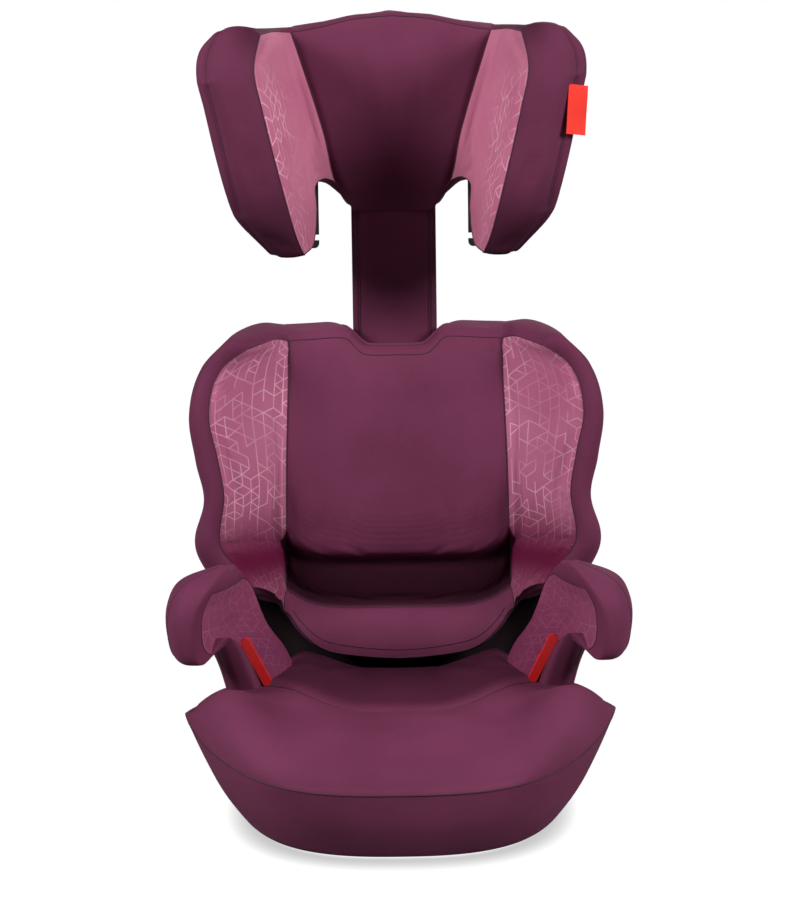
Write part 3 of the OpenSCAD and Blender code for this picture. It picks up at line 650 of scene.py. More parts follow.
def head_low(u):
    """Lower edge of the headrest: low at the neck, arched beside it, lowest under the wings."""
    keys = [
        (0, 46), (0.34, 46), (0.365, 50), (0.385, 60), (0.40, 68), (0.42, 75), (0.46, 79),
        (0.5, 80), (0.56, 77), (0.6, 71), (0.64, 54), (0.7, 30), (0.8, 15), (1, 11),
    ]
    return HEAD_LOW + through(keys, u)


def head_top(u):
    """Upper edge of the headrest, highest in the middle."""
    keys = [(0, 0.985), (0.16, 0.972), (0.3, 0.942), (0.42, 0.925), (0.7, 0.928), (1, 0.918)]
    return HEAD_LOW + HEAD_H * through(keys, u)


SEAM_HEAD = 0.42
HEAD = Shape(head_front, head_rear, head_low, head_top, SEAM_HEAD)


def head_tuck(ub, tb, start):
    """Where the cover tucks in around the neck, how much it does, and which way it then runs."""
    low = ease((0.05 - tb) / 0.05)
    share = low * ease((0.41 - np.abs(ub)) / 0.04)
    end = start + np.array([0, 7, 3])
    return end, share, np.array([0, 3, 14])


def head_swell(ub, tb):
    """How far the headrest's rim bulges."""
    side = ease((np.abs(ub) - 0.9) / 0.1)
    return mix(mix(4.0, 7.0, ease(tb / 0.3)), 10.0, side * ease(tb / 0.2))


def cover(body, shape, spec):
    """Soft front of a padded body, blown against its seams, and the rings of the rim around it."""
    u = columns(shape.seam, *spec["columns"])
    t = np.linspace(0, 1, spec["rows"])
    uu, tt = np.meshgrid(u, t)
    front = shape.on_front(uu, tt)
    rings, loop = rim_grid(shape, front, u, t, spec)
    rings = smooth_rings(rings, 2)
    left, right = seam_lines(u, shape.seam)
    pins = np.zeros(front.shape[:2])
    pins[:, [left, right, 0, -1]] = 1
    pins[[0, -1], :] = 1
    pins[spec["fixed"](uu, tt, front)] = 1
    soft = blown(front, pins, 5.0, spec["cap"])
    crown = spec["crown"](uu, tt, front) - 2.2 * bump(seam_distance(front, left, right), 3.5)
    soft = soft + normals_of(front) * crown[..., None]
    pins = np.zeros(rings.shape[:2])
    pins[0] = 1
    pins[spec["band_steps"] :] = 1
    rings = blown(rings, pins, 4.0, 4.0, closed=True)
    rings[0] = soft.reshape(-1, 3)[loop]
    panels = split_panels(body, soft, left, right, spec["pink"])
    rim = grid_object(body + "_rim", rings, PLUM, from_back, closed=True)
    attach(rim, body, "knit_plum")
    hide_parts(*spec["nodes"])
    return front, soft, rings, panels, rim, left, right


def head_fixed(uu, tt, _):
    """Part of the headrest's front that stays flat: above the neck."""
    return (np.abs(uu) < 0.3) & (tt < 0.3)


def head_crown(uu, tt, _):
    """Rounding of the headrest's front towards its rim."""
    edge = np.minimum(1 - np.abs(uu), 1 - tt) * 100
    return 2.5 * roll(edge / 14) * ease(tt / 0.3)


HEAD_SPEC = {
    "columns": (30, 52), "rows": 100, "pink": PINK_HEAD, "cap": 5.0,
    "fixed": head_fixed, "crown": head_crown,
    "tuck": head_tuck, "swell": head_swell, "tuck_swell": 0.05, "groove": 1.6, "stitch": 0.82,
    "band_steps": 22, "hem_steps": 16, "hem_u": 0.3, "hem_t": 0.2,
    "nodes": ("head_cover", "head_foam", "wing_insert_left", "wing_insert_right"),
}


def head_cushion():
    """Headrest cover: plum middle, pink wing linings, plum rim and hem."""
    _, soft, rings, panels, rim, left, right = cover("headrest", HEAD, HEAD_SPEC)
    # painted shade on the rim: a little overall, more towards its low edge and at each top corner
    corner = bump(np.hypot(np.abs(rings[..., 0]) - 135, rings[..., 2] - 682), 20)
    paint(rim, 0.1 + 0.65 * ease((HEAD_LOW + 110 - rings[..., 2]) / 95) + 0.5 * corner)
    above = soft[..., 2] - HEAD_LOW
    # painted shade: the pink wings darker low down, and the middle panel darker towards the neck
    low_wing_shade = 0.25 * ease((95 - above) / 75)
    shown = lattice_window(soft)
    paint(panels[0], 0.6 * ease((165 - above[:, left : right + 1]) / 110))
    for panel, span in ((panels[1], slice(0, left + 1)), (panels[2], slice(right, None))):
        paint(panel, low_wing_shade[:, span])
        paint(panel, shown[:, span], "shown")
    open_edge = ~((np.abs(rings[0, :, 0]) < 52) & (rings[0, :, 2] < 524))
    seams = [soft[2:, left], soft[2:, right], rings[0][runs(open_edge)[0]]]
    for i, line in enumerate(seams):
        cord("headrest_seam_%d" % (i + 1), line, "headrest", lift=-0.4)
    outer_edge = rings[round(HEAD_SPEC["stitch"] * HEAD_SPEC["band_steps"])]
    side = np.abs(outer_edge[:, 0]) > 60
    for i, part in enumerate(runs(side)):
        cord("headrest_side_seam_%d" % (i + 1), outer_edge[part], "headrest")


def runs(mask):
    """Index lists of the unbroken stretches of a closed loop where mask is true."""
    n = len(mask)
    start = int(np.argmin(mask))
    order = (np.arange(n) + start) % n
    parts, part = [], []
    for i in order:
        if mask[i]:
            part.append(i)
        elif part:
            parts.append(part)
            part = []
    if part:
        parts.append(part)
    return [p for p in parts if len(p) > 5]


def cord(name, line, body, closed=False, lift=0.0, radius=0.55, material=None, place=None):
    """Seam thread or piping along a line, which rides on a body."""
    line = np.asarray(line, float) + np.array([0, lift, 0])
    obj = tube(name, line, radius, material or THREAD, place or from_back, closed)
    attach(obj, body, "knit_plum")


def split_panels(body, soft, left, right, pink):
    """Middle and wing panels of a body's front grid as separate pieces that meet at the seams."""
    uv = grid_uv(soft)
    parts = [
        (body + "_centre", slice(left, right + 1), PLUM, "knit_plum"),
        (body + "_wing_left", slice(0, left + 1), pink, "knit_pink"),
        (body + "_wing_right", slice(right, None), pink, "knit_pink"),
    ]
    made = []
    for title, span, material, slot in parts:
        obj = grid_object(title, soft[:, span], material, from_back, uv=uv[:, span])
        attach(obj, body, slot)
        made.append(obj)
    return made


def paint(obj, values, name="shade"):
    """Gives each point of an object a value that its material reads."""
    layer = obj.data.attributes.new(name, "FLOAT", "POINT")
    layer.data.foreach_set("value", np.ascontiguousarray(values, np.float32).ravel())


def lattice_window(soft):
    """Where the lattice shows on a headrest wing: on its outer half, fading out towards the top."""
    forward = -soft[..., 1] / math.cos(LEAN)
    up = from_back(soft)[..., 2] * 1000
    return ease((forward - 65) / 45) * ease((745 - up) / 60)


# ---------- Backrest cushion ----------

SEAM_BACK = 0.58
UPPER_SEAM = 136  # heights of the cross seams above and below the hollow
LOWER_SEAM = 80.5


def back_rise(x):
    """How much the lower seams of the backrest climb towards the sides."""
    return 19 * (np.minimum(np.abs(x), 125) / 113) ** 5


def back_profile(h):
    """Depth of the middle of the backrest at height h: upper pad, shadowed hollow, lower flap."""
    keys = [
        (28, -57), (48, -55), (66, -47), (78, -34), (84, -26), (92, -23), (128, -28),
        (134, -31), (139, -42), (146, -49), (160, -51), (300, -46), (345, -45), (366, -38),
    ]
    return through(keys, h)


def back_seam_x(h):
    """Panel seam of the backrest, as a distance from its middle."""
    return mix(119, 109, np.clip((h - 90) / 270, 0, 1))


def back_rim_y(h):
    """How far forward the rim of the backrest's wings stands."""
    return -BACK_WING * through([(100, 0.86), (170, 1), (300, 1), (389, 0.74)], h)


def back_front(u, h):
    """Front skin of the backrest: padded middle, hollow and flap, and wings that bend forward."""
    seam_x = back_seam_x(h)
    rim_keys = [
        (105, 0.66), (136, 0.77), (165, 0.862), (216, 0.838),
        (256, 0.866), (300, 0.902), (343, 0.84), (372, 0.64),
    ]
    rim_x = BACK_HALF_W * through(rim_keys, h)
    rim_y = back_rim_y(h)
    t = (u - SEAM_BACK) / (1 - SEAM_BACK)
    tc = np.clip(t, 0, 1)
    inner_x = seam_x * u / SEAM_BACK
    centre = back_profile(h - back_rise(np.minimum(inner_x, seam_x)))
    plain = mix(centre, -48, ease(t * 3))
    inner_y = centre - 6 * (u / SEAM_BACK) ** 2
    outer_x = bend(seam_x, mix(seam_x, rim_x, 0.62), rim_x, tc)
    outer_y = bend(plain - 6, plain - 12, rim_y, tc)
    return np.where(t < 0, inner_x, outer_x), np.where(t < 0, inner_y, outer_y)


def back_rear(u, h):
    """Rear skin of the backrest: a flat middle, and sides that run forward to the rims."""
    seam_x = 6 + back_seam_x(h)
    outline_keys = [
        (105, 0.86), (150, 0.975), (172, 0.988), (210, 0.938), (250, 0.975),
        (298, 1), (342, 0.938), (368, 0.80), (389, 0.66),
    ]
    side = BACK_HALF_W * through(outline_keys, h)
    rim_y = back_rim_y(h) + 10
    t = (u - SEAM_BACK) / (1 - SEAM_BACK)
    tc = np.clip(t, 0, 1)
    x = np.where(t < 0, seam_x * u / SEAM_BACK, bend(seam_x, side, side, tc))
    y = np.where(t < 0, BACK_REAR_Y, bend(BACK_REAR_Y, BACK_REAR_Y - 2, rim_y, tc))
    return x, y


def back_low(u):
    """Lower edge of the backrest: the flap's curve in the middle, rising to the wings."""
    keys = [
        (0, 33), (0.15, 35), (0.34, 41), (0.43, 50), (0.51, 66),
        (0.57, 83), (0.66, 94), (0.75, 100), (1, 118),
    ]
    return through(keys, u)


def back_top(u):
    """Upper edge of the backrest, which dips in front of the neck."""
    keys = [
        (0, 349), (0.13, 349), (0.18, 351), (0.22, 357), (0.26, 365),
        (0.32, 367), (0.45, 366), (SEAM_BACK, 366), (0.75, 369), (1, 362),
    ]
    return through(keys, u)


BACK = Shape(back_front, back_rear, back_low, back_top, SEAM_BACK)


def back_tuck(ub, tb, start):
    """The cover ends in front of the neck at the collar, and under the flap at the bottom."""
    collar = ease((tb - 0.95) / 0.05) * ease((0.35 - np.abs(ub)) / 0.13)
    under = ease((0.03 - tb) / 0.03) * ease((0.75 - np.abs(ub)) / 0.15)
    end = np.where(
        (tb > 0.5)[:, None],
        points(start[:, 0], -17.5, start[:, 2] + 3),
        start + np.array([0, 34, -2]),
    )
    way = np.where((tb > 0.5)[:, None], np.array([0, 1, -14]), np.array([0, 6, 16]))
    return end, np.maximum(collar, under), way


def back_swell(_, tb):
    """How far the backrest's rim bulges, most along its top."""
    return mix(9.0, 13.0, ease((tb - 0.9) / 0.1))


def back_fixed(uu, _, front):
    """Lines of the backrest's front that stay down: the two cross seams of its middle."""
    h = front[..., 2] - back_rise(front[..., 0])
    return (np.abs(uu) < SEAM_BACK) & ((np.abs(h - UPPER_SEAM) < 4) | (np.abs(h - 82) < 4))


def back_crown(uu, tt, front):
    """Rounding of the backrest's front towards its rim, and the dents of its cross seams."""
    h = front[..., 2] - back_rise(front[..., 0])
    edge = np.minimum(1 - np.abs(uu), 1 - tt) * 160
    dents = bump(h - UPPER_SEAM, 3) + bump(h - LOWER_SEAM, 3)
    return 2.5 * roll(edge / 16) - (np.abs(uu) < SEAM_BACK) * 1.8 * dents


BACK_SPEC = {
    "columns": (44, 46), "rows": 150, "pink": PINK, "cap": 6.0,
    "fixed": back_fixed, "crown": back_crown,
    "tuck": back_tuck, "swell": back_swell, "tuck_swell": 0.5, "groove": 0.0, "stitch": 0.9,
    "band_steps": 22, "hem_steps": 16, "hem_u": 0.3, "hem_t": 0.12,
    "nodes": ("back_cover", "back_foam", "lumbar_pad"),
}


def back_cushion():
    """Backrest cover: plum middle with its hollow and flap, pink wing linings, plum rim and hem."""
    front, soft, rings, panels, _, left, right = cover("backrest", BACK, BACK_SPEC)
    h = front[..., 2] - back_rise(front[..., 0])
    # painted shade: the hollow between the cross seams, and the pink wings low down (easing off again
    # at the very bottom)
    hollow = ease((138 - h) / 8) * ease((h - 78) / 5)
    foot = ease((180 - h) / 70) * (1 - 0.35 * ease((108 - h) / 34))
    paint(panels[0], 0.9 * hollow[:, left : right + 1])
    paint(panels[1], foot[:, : left + 1])
    paint(panels[2], foot[:, right:])
    for i, line in enumerate([soft[:, left], soft[:, right], rings[0]]):
        cord("backrest_seam_%d" % (i + 1), line, "backrest", closed=i == 2, lift=-0.4)
    flap = np.abs(columns(SEAM_BACK, *BACK_SPEC["columns"])) < 0.55
    cord("backrest_hem_stitch", soft[4, flap], "backrest", lift=-0.3, radius=0.45)
    for i, level in enumerate((UPPER_SEAM, LOWER_SEAM)):
        line = level_line(soft, h, level, left, right)
        cord("backrest_cross_seam_%d" % (i + 1), line, "backrest", lift=-0.5)
    return rings


def level_line(grid, h, level, left, right):
    """Points of a grid's middle columns where h reaches level."""
    line = []
    for c in range(left, right + 1):
        line.append([np.interp(level, h[:, c], grid[:, c, k]) for k in range(3)])
    return np.array(line)


def collar_binding(rings):
    """Bound edge of the dip in front of the neck, along the crest of the cover's top."""
    band = rings[: BACK_SPEC["band_steps"] + 1]
    crest = band[band[..., 2].argmax(axis=0), np.arange(band.shape[1])]
    near = (np.abs(crest[:, 0]) < 62) & (crest[:, 2] > 300)
    line = crest[near]
    line = line[np.argsort(line[:, 0])]
    for _ in range(4):
        line[1:-1] = (line[:-2] + line[1:-1] * 2 + line[2:]) / 4
    line = line + np.array([0, -0.5, 0.4])
    line[:, 2] -= 4 * ease((np.abs(line[:, 0]) - 50) / 12)
    cord("collar_binding", line, "backrest", radius=2.0, material=PLUM)


# ---------- Neck ----------


def neck():
    """Fabric sleeve around the sliding neck, with a stitched edge on each side."""
    half = NECK_HALF_W
    a = 2 * math.pi * np.arange(96) / 96
    x = half * power(np.cos(a), 0.22)
    y = -6.5 + 7.5 * power(np.sin(a), 0.5)
    h = np.linspace(258, 503, 90)
    grid = points(x[None, :], y[None, :], h[:, None])
    front = ease(-np.sin(a) / 0.4)[None, :]
    groove = 0.9 * (bump(np.abs(grid[..., 0]) - 37.5, 1.6)) * front
    wave = 0.35 * np.sin(h[:, None] / 11 + grid[..., 0] / 9) * np.sin(h[:, None] / 29) * front
    grid[..., 1] += groove + wave
    sleeve = grid_object("neck_cloth", grid, PLUM, from_back, closed=True)
    # painted shade: the sleeve darker towards its top, under the headrest
    paint(sleeve, 0.45 * ease((grid[..., 2] - 345) / 50))
    attach(sleeve, "headrest", "knit_plum", "neck_sleeve")
    for side in (-1, 1):
        for j, inset in enumerate((4.5, 7.5)):
            line = points(side * (half - inset), -14.2, np.linspace(262, 500, 40))
            name = "neck_stitch_%s_%d" % ("left" if side < 0 else "right", j + 1)
            cord(name, line, "headrest", radius=0.35)


def valance():
    """Lining that hangs behind the lower flap and closes the gap above the hinge; its near-black colour
    is painted shadow in that gap.
    """
    x = np.linspace(-172, 172, 110)[None, :]
    t = np.linspace(0, 1, 40)[:, None]
    side = ease((np.abs(x) - 110) / 62)
    h = mix(2 + 80 * side, 150, t)
    y = -14.5 + 1.5 * np.sin(x / 13) * (1 - t) - 18 * side
    attach(grid_object("backrest_shadow_lining", points(x, y, h), SHADOW_LINING, from_back), "backrest", "knit_plum")


# ---------- Moulded shells ----------


def shell(body, shape, relief, node):
    """Moulded shell behind the hem of a body's cover, with raised ribs on its rear."""
    u = columns(shape.seam, 40, 44) * SHELL_REACH
    t = np.linspace(0, 1, 120)
    uu, tt = np.meshgrid(u, t)
    h = mix(shape.low(np.abs(uu)) + 4, shape.top(np.abs(uu)) - 2, tt)
    rx, ry = shape.rear(np.abs(uu), h)
    fx, fy = shape.front(np.abs(uu), h)
    rear = points(rx * np.sign(uu), ry, h)
    inwards = unit(points(fx * np.sign(uu), fy, h) - rear)
    lift = relief(rear[..., 0], h)[..., None]
    outer = rear + inwards * (SHELL_DEPTH - lift)
    inner = rear + inwards * (SHELL_DEPTH + WALL)
    obj = thick_grid(body + "_shell", outer[:, ::-1], inner[:, ::-1], SHELL, from_back)
    attach(obj, body, "shell_grey", node)


def back_relief(x, h):
    """Raised spine box of the backrest shell, and the upright ribs beside it."""
    box = 2.2 * ease((66 - np.abs(x)) / 3) * ease((h - 44) / 3) * ease((346 - h) / 3)
    ribs = sum(1.6 * bump(np.abs(x) - p, 2.2) for p in (84, 98, 112))
    ribs = ribs * ease((h - 120) / 12) * ease((330 - h) / 12)
    return np.maximum(box, ribs)


def head_relief(x, h):
    """Three short cross ribs on each side of the headrest shell."""
    ribs = sum(1.4 * bump(h - level, 2.2) for level in (575, 590, 605))
    return ribs * ease((np.abs(x) - 46) / 6) * ease((88 - np.abs(x)) / 6)


# ---------- Base ----------


def outline(a, w, front, rear):
    """Plan outline of the base at angle a: a rounded box with its own depth in front and behind."""
    s = power(np.sin(a), 2 / PLAN_POWER)
    return w * power(np.cos(a), 2 / PLAN_POWER), np.where(s < 0, front, rear) * s


def wall_w(z):
    """Half width of the apron's wall at height z."""
    return through([(0, FLOOR_HALF_W), (40, 178), (76, 196), (112, SEAT_HALF_W)], z)


def wall_front(z):
    """How far forward the apron's wall stands at height z."""
    return through([(0, SEAT_FRONT - 22), (40, SEAT_FRONT - 6), (76, SEAT_FRONT)], z)


def seam_z(x, y=-SEAT_FRONT):
    """Height of the seam between seat and apron, which falls behind the front of the armrests."""
    return 77 + 33 * (np.abs(x) / 208) ** 4.2 - 14 * ease((y + 45) / 60)


def seat_front(x):
    """Plan line of the front seam, where the apron's wall meets the seat."""
    z = seam_z(x)
    return -wall_front(z) * np.maximum(0, 1 - (np.abs(x) / wall_w(z)) ** PLAN_POWER) ** (1 / PLAN_POWER)


def seat_crown(x, y):
    """Height of the seat before its edges roll down."""
    d = np.abs(x)
    bolster = mix(111, 144, ease((d - 95) / 75))
    centre = 101 + 21 * ease((d - 35) / 80) + 3 * ease((y - 40) / 90)
    return mix(bolster, centre, ease((y + 65) / 50))


REAR_D = 212
SEAT_REAR = 124
SEAM_HALF_W = 212  # half width over which the seat's panels are drawn


def seat_rear(x):
    """Rear edge of the seat, cut in beside the armrests."""
    d = np.abs(x)
    return through([(0, SEAT_REAR), (100, SEAT_REAR), (112, 110), (148, 40), (170, 24), (212, 16)], d)


def seat_cushion():
    """Soft seat: a front bolster panel and a middle panel that meet at a curved seam."""
    cols = 170
    bolster_rows, centre_rows = 60, 60
    s = np.linspace(-1, 1, cols)
    x = SEAM_HALF_W * np.sin(s * math.pi / 2)
    joint = seam_y(x)
    front_y = seat_front(x)
    rear_y = seat_rear(x)
    joint = np.minimum(joint, rear_y - 6)
    ta = np.linspace(0, 1, bolster_rows) ** 1.5
    y_a = mix(front_y, joint, ta[:, None])
    y_b = mix(joint, rear_y, np.linspace(0, 1, centre_rows)[1:, None] ** 1.1)
    y = np.concatenate([y_a, y_b])
    xx = x * wall_w(seam_z(SEAM_HALF_W, y)) / wall_w(seam_z(SEAM_HALF_W))
    grid = points(xx, y, seat_height(x, y, seam_z(xx, y)))
    out = normals_of(grid)
    pins = np.zeros(y.shape)
    pins[[0, -1], :] = 1
    pins[:, [0, -1]] = 1
    pins[bolster_rows - 1] = 1
    soft = blown(grid, pins, 5.0, 5.0)
    groove = 2.2 * bump(y - joint, 4)
    soft = soft - out * groove[..., None]
    # painted shade: the seat's middle darker behind the bolster seam and towards the rear
    seat_shade = 0.5 * ease((y - joint) / 30) * ease((175 - np.abs(xx)) / 40)
    seat_shade = seat_shade + 0.25 * ease((y - 60) / 60)
    drop = np.linspace(0, 1, 9)[1:, None, None]
    lowest = soft[-1] * np.array([0.9, 1, 0]) + np.array([0, 3, 64])
    soft = np.concatenate([soft, mix(soft[-1], lowest, drop)])
    seat_shade = np.concatenate([seat_shade, np.repeat(seat_shade[-1:], 8, axis=0)])
    spans = {"seat_bolster": slice(0, bolster_rows), "seat_centre": slice(bolster_rows - 1, None)}
    for title, span in spans.items():
        obj = grid_object(title, soft[span], PLUM, from_base)
        nodes = ("seat_cover", "seat_foam") if title == "seat_bolster" else ()
        attach(obj, "base", "knit_plum", *nodes)
        paint(obj, seat_shade[span])
    near = np.abs(x) < 150
    cord("seat_seam", soft[bolster_rows - 1, near] + np.array([0, 0, 0.3]), "base", place=from_base)


def seam_y(x):
    """Plan line where the middle of the seat meets the bolster."""
    return -22 + 26 * ease((np.abs(x) - 70) / 80)


def seat_height(x, y, edge):
    """Height of the seat, which rolls down to the height of its edge at the front and the sides."""
    front = roll((y - seat_front(x)) / 70)
    side = roll((SEAM_HALF_W - np.abs(x)) / 38)
    rear = roll((seat_rear(x) + 2 - y) / 26)
    return edge + (seat_crown(x, y) - edge) * front * side - 14 * (1 - rear) * side


def skirt():
    """Fabric apron from the seat's front seam down to the floor."""
    n = 420
    a = 2 * math.pi * np.arange(n) / n
    ox, oy = outline(a, SEAT_HALF_W, SEAT_FRONT, REAR_D)
    back = ease((oy - 24) / 50)
    top = seam_z(ox, oy)
    for _ in range(4):
        top = mix(seam_z(outline(a, wall_w(top), 1, 1)[0], oy), 62, back)
    rows = []
    for t in 1 - (1 - np.linspace(0, 1, 56)) ** 1.3:
        z = mix(3, top, t)
        puff = 2.5 * np.sin(math.pi * t) ** 0.7 - 6 * (1 - roll(t / 0.12))
        x, y = outline(a, wall_w(z) + puff, wall_front(z) + puff, REAR_D + puff)
        rows.append(points(x, y, z))
    grid = np.array(rows)
    obj = grid_object("skirt", grid, PLUM, from_base, closed=True)
    attach(obj, "base", "knit_plum", "base_skirt")
    line = grid[-1][oy < 14]
    order = np.argsort(line[:, 0])
    cord("front_piping", line[order] + np.array([0, -0.3, 0]), "base", radius=0.8, place=from_base)


# ---------- Armrests ----------


# Edges of the armrest's rings, as keys of (share of the way up, millimetres).
# Front, rear and side heights let the rings tilt, so that the post's front turns into the ear.
ARM_INNER_FRONT_X = [
    (0, 116), (0.2, 126), (0.36, 146), (0.42, 155), (0.5, 167), (0.58, 177), (0.66, 182),
    (0.8, 180), (0.9, 168), (1, 163),
]
ARM_OUTER_FRONT_X = [
    (0, 168), (0.2, 176), (0.36, 190), (0.44, 202), (0.58, 220), (0.68, 229), (0.8, 229),
    (0.9, 215), (1, 175),
]
ARM_INNER_REAR_X = [(0, 95), (0.2, 99), (0.36, 107), (0.55, 116), (0.7, 122), (0.86, 134), (1, 160)]
ARM_OUTER_REAR_X = [
    (0, 170), (0.2, 178), (0.36, 191), (0.5, 206), (0.68, 224), (0.8, 224), (0.9, 212), (1, 177),
]
ARM_FRONT_Y = [
    (0, -6), (0.2, -12), (0.34, -16), (0.40, -18), (0.46, -27), (0.52, -44), (0.58, -63),
    (0.66, -72), (0.8, -72), (0.9, -58), (0.97, -30), (1, -6),
]
ARM_INNER_FRONT_Y = [
    (0, -6), (0.2, -2), (0.34, 0), (0.46, -2), (0.58, -14), (0.7, -30), (0.8, -38),
    (0.9, -40), (0.97, -26), (1, -6),
]
ARM_REAR_Y = [(0, 112), (0.3, 104), (0.5, 88), (0.8, 72), (0.92, 50), (1, 14)]
ARM_FRONT_Z = [
    (0, 66), (0.2, 120), (0.34, 170), (0.40, 183), (0.46, 181), (0.52, 173), (0.58, 171),
    (0.66, 184), (0.8, 222), (0.9, 246), (0.97, 254), (1, 253),
]
ARM_SIDE_Z = [
    (0, 66), (0.3, 138), (0.5, 172), (0.66, 196), (0.8, 220), (0.9, 240), (0.97, 250), (1, 252),
]
ARM_REAR_Z = [
    (0, 66), (0.3, 126), (0.5, 152), (0.66, 170), (0.8, 190), (0.9, 210), (0.97, 232), (1, 248),
]


def arm_grid(side):
    """Armrest as stacked rings: a post whose front turns forward into an overhanging ear."""
    w = np.linspace(0, 1, 110)[:, None]
    n = 120
    a = 2 * math.pi * (np.arange(n) + 0.5) / n
    near = (power(np.sin(a), 0.72)[None, :] + 1) / 2
    far = (power(np.cos(a), 0.72)[None, :] + 1) / 2
    ear = ease((far - 0.02) / 0.33)
    x_front = mix(through(ARM_INNER_FRONT_X, w), through(ARM_OUTER_FRONT_X, w), far)
    x_rear = mix(through(ARM_INNER_REAR_X, w), through(ARM_OUTER_REAR_X, w), far)
    y_front = mix(through(ARM_INNER_FRONT_Y, w), through(ARM_FRONT_Y, w), ear)
    z_front = mix(through(ARM_SIDE_Z, w), through(ARM_FRONT_Z, w), ease((0.55 - near) / 0.5) * ear)
    x = mix(x_front, x_rear, near)
    y = mix(y_front, through(ARM_REAR_Y, w), near)
    z = mix(z_front, through(ARM_REAR_Z, w), ease((near - 0.45) / 0.55))
    return points(side * x, y, z), a


def arms():
    """Armrest covers: a pink panel on the inner side, plum around and above it, and their seams."""
    for side, name in ((-1, "left"), (1, "right")):
        grid, a = arm_grid(side)
        turn = np.degrees(a)
        inner = (turn > 130) & (turn < 244)
        first, last = np.where(inner)[0][[0, -1]]
        cap = np.repeat(grid[-1:].mean(axis=1, keepdims=True), grid.shape[1], axis=1)
        grid = np.concatenate([grid, cap])
        uv = grid_uv(grid)
        top_row = int(0.87 * len(grid))
        lining = slice(first, last + 2)
        below, above = slice(0, top_row + 1), slice(top_row, None)
        outside = np.concatenate([grid[:, last + 1 :], grid[:, : first + 1]], axis=1)
        outside_uv = np.concatenate([uv[:, last + 1 :], uv[:, : first + 1] + [uv[0, -1, 0], 0]], axis=1)
        parts = [
            ("armrest_panel_", grid[below, lining], uv[below, lining], PINK_PLAIN, "knit_pink"),
            ("armrest_top_", grid[above, lining], uv[above, lining], PLUM, "knit_plum"),
            ("armrest_cover_", outside, outside_uv, PLUM, "knit_plum"),
        ]
        for title, part, part_uv, material, slot in parts:
            obj = grid_object(title + name, part, material, from_base, flip=side < 0, uv=part_uv)
            attach(obj, "base", slot)
            if slot == "knit_pink":
                # painted shade: the pink panel darker low down
                paint(obj, 0.12 + 0.5 * ease((205 - part[..., 2]) / 55))
                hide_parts("arm_cover_" + name, "arm_frame_" + name)
        side_seam = int(np.argmin(np.abs(turn - 318)))
        seams = [
            grid[below, first],
            grid[below, last + 1],
            grid[top_row, lining],
            grid[:-2, side_seam],
        ]
        for j, line in enumerate(seams):
            cord("armrest_seam_%s_%d" % (name, j + 1), line, "base", place=from_base)


# ---------- Tag ----------


def tag():
    """Small folded cloth tag in the headrest's side seam, left blank."""
    h = np.linspace(0, 48, 24)[:, None]
    d = np.linspace(0, 1, 10)[None, :]
    x = 169 + 19 * d + 0.06 * h
    y = -152 + 7 * d + 1.2 * np.sin(h / 8) * d
    front = points(x, y, 577 + h - 2.5 * d)
    rear = front + np.array([0, 1.3, 0])
    obj = thick_grid("side_tag_cloth", front, rear, TAG, from_back)
    attach(obj, "headrest", "tag_red", "side_tag")


# ---------- Hardware shown as it is in the frame ----------

FINISHES = {
    "base_shell": BASE_GREY, "base_ribs": BASE_GREY, "base_feet": RUBBER, "base_screws": STEEL,
    "hinge_bracket": DARK, "hinge_rod": STEEL, "rod_clips": STEEL,
    "lap_belt_guide_left": RED, "lap_belt_guide_right": RED,
    "neck_collar": DARK, "neck_channel": DARK, "height_rack": STEEL, "back_screws": STEEL,
    "back_hook_left": DARK, "back_hook_right": DARK, "head_spine": DARK, "spine_screws": STEEL,
    "handle_bracket": DARK, "handle_pin": STEEL, "release_handle": DARK, "release_rod": STEEL,
    "latch_bolt": STEEL, "shoulder_belt_guide_left": DARK, "shoulder_belt_guide_right": DARK,
}


def dress_hardware():
    """Gives the moulded and metal pieces of the frame their materials and softened edges."""
    for name, material in FINISHES.items():
        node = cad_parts[name]
        node.data.materials.clear()
        node.data.materials.append(material)
        edges = node.modifiers.new("edges", "BEVEL")
        edges.width = 0.0004
        edges.segments = 2
        edges.limit_method = "ANGLE"
        edges.angle_limit = math.radians(40)


# ---------- Stage ----------


def stage():
    """White surroundings for the camera, a floor, and soft lamps on both sides, above and behind."""
    scene = bpy.context.scene
    world = bpy.data.worlds.new("studio")
    scene.world = world
    world.use_nodes = True
    tree = world.node_tree
    tree.nodes.clear()
    seen = tree.nodes.new("ShaderNodeBackground")
    seen.inputs["Color"].default_value = (1, 1, 1, 1)
    fill = tree.nodes.new("ShaderNodeBackground")
    fill.inputs["Strength"].default_value = 0.03
    path = tree.nodes.new("ShaderNodeLightPath")
    both = tree.nodes.new("ShaderNodeMixShader")
    out = tree.nodes.new("ShaderNodeOutputWorld")
    tree.links.new(path.outputs["Is Camera Ray"], both.inputs[0])
    tree.links.new(fill.outputs[0], both.inputs[1])
    tree.links.new(seen.outputs[0], both.inputs[2])
    tree.links.new(both.outputs[0], out.inputs[0])

    mesh = bpy.data.meshes.new("floor")
    mesh.from_pydata([(-6, -6, 0), (6, -6, 0), (6, 6, 0), (-6, 6, 0)], [], [(0, 1, 2, 3)])
    floor = bpy.data.objects.new("floor", mesh)
    scene.collection.objects.link(floor)
    floor.data.materials.append(floor_material())

    lamp("overhead", (0, -0.5, 2.4), (0, 0, 0.3), 1.0, 8)
    lamp("side_left", (-1.95, -1.15, 1.7), (0, 0, 0.4), 0.8, 70)
    lamp("side_right", (1.95, -1.15, 1.7), (0, 0, 0.4), 0.8, 70)
    lamp("rear", (0.6, 2.4, 1.8), (0, 0, 0.4), 1.6, 24)


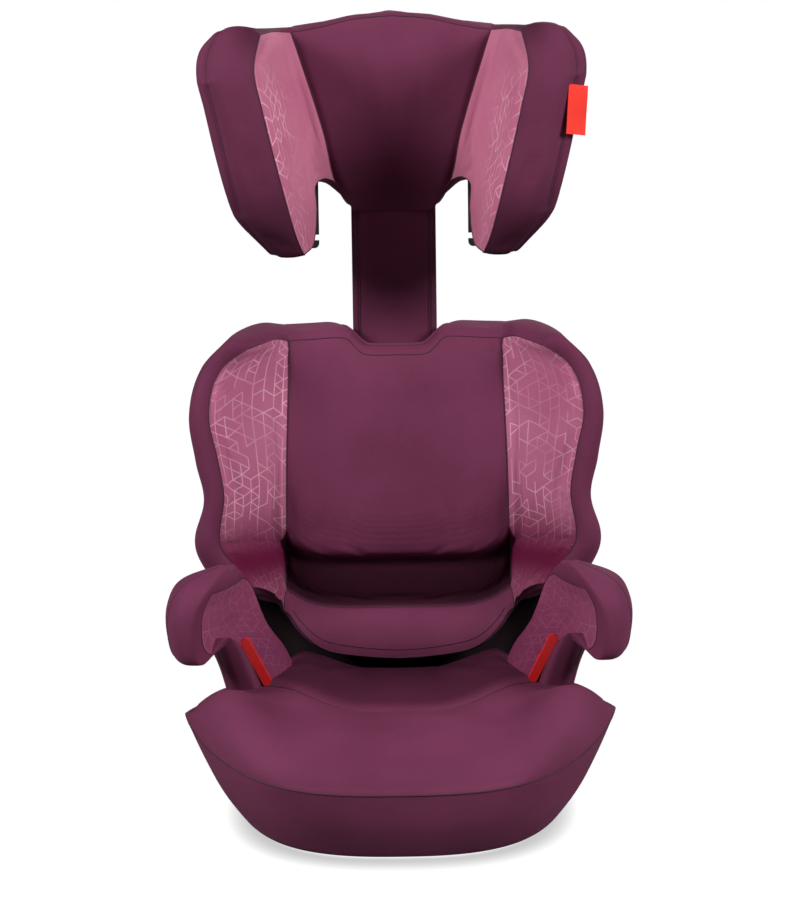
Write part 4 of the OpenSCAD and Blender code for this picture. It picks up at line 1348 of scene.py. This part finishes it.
def floor_material():
    """White floor that the camera sees as the page, with a painted contact shadow only where the seat
    nearly touches it.
    """
    material = bpy.data.materials.new("floor")
    material.use_nodes = True
    tree = material.node_tree
    tree.nodes.clear()
    contact_shadow = tree.nodes.new("ShaderNodeAmbientOcclusion")
    contact_shadow.inputs["Distance"].default_value = 0.02
    contact_shadow.samples = 16
    curve = tree.nodes.new("ShaderNodeMapRange")
    curve.inputs["From Min"].default_value = 0.15
    curve.inputs["From Max"].default_value = 0.95
    curve.inputs["To Min"].default_value = 0.5
    curve.inputs["To Max"].default_value = 1.0
    glow = tree.nodes.new("ShaderNodeEmission")
    matt = tree.nodes.new("ShaderNodeBsdfDiffuse")
    matt.inputs["Color"].default_value = (0.3, 0.3, 0.3, 1)
    path = tree.nodes.new("ShaderNodeLightPath")
    both = tree.nodes.new("ShaderNodeMixShader")
    out = tree.nodes.new("ShaderNodeOutputMaterial")
    tree.links.new(contact_shadow.outputs["AO"], curve.inputs["Value"])
    tree.links.new(curve.outputs["Result"], glow.inputs["Strength"])
    tree.links.new(path.outputs["Is Camera Ray"], both.inputs[0])
    tree.links.new(matt.outputs[0], both.inputs[1])
    tree.links.new(glow.outputs[0], both.inputs[2])
    tree.links.new(both.outputs[0], out.inputs[0])
    return material


def lamp(name, place, target, size, watts):
    """Round soft lamp at a place, turned to its target."""
    light = bpy.data.lights.new(name, "AREA")
    light.shape = "DISK"
    light.size = size
    light.energy = watts
    obj = bpy.data.objects.new(name, light)
    obj.location = place
    obj.rotation_euler = (Vector(target) - Vector(place)).to_track_quat("-Z", "Y").to_euler()
    bpy.context.scene.collection.objects.link(obj)


def camera():
    """Camera 15 degrees above the horizon, 2.6 m away, aimed a little below the middle."""
    data = bpy.data.cameras.new("camera")
    data.lens = 105.6
    data.sensor_width = 36
    obj = bpy.data.objects.new("camera", data)
    bpy.context.scene.collection.objects.link(obj)
    up = math.radians(15)
    target = Vector((0, -0.011, 0.382))
    obj.location = target + 2.6 * Vector((0, -math.cos(up), math.sin(up)))
    aim = Euler((math.pi / 2 - up - math.radians(0.543), 0, math.radians(-0.085))).to_matrix()
    turn = Matrix.Rotation(math.radians(-0.79), 3, "Z")
    obj.rotation_euler = (aim @ turn).to_euler()
    bpy.context.scene.camera = obj


head_cushion()
collar_binding(back_cushion())
neck()
valance()
shell("backrest", BACK, back_relief, "back_shell")
shell("headrest", HEAD, head_relief, "head_shell")
seat_cushion()
skirt()
arms()
tag()
dress_hardware()
stage()
camera()

bpy.context.scene.view_settings.view_transform = "Standard"
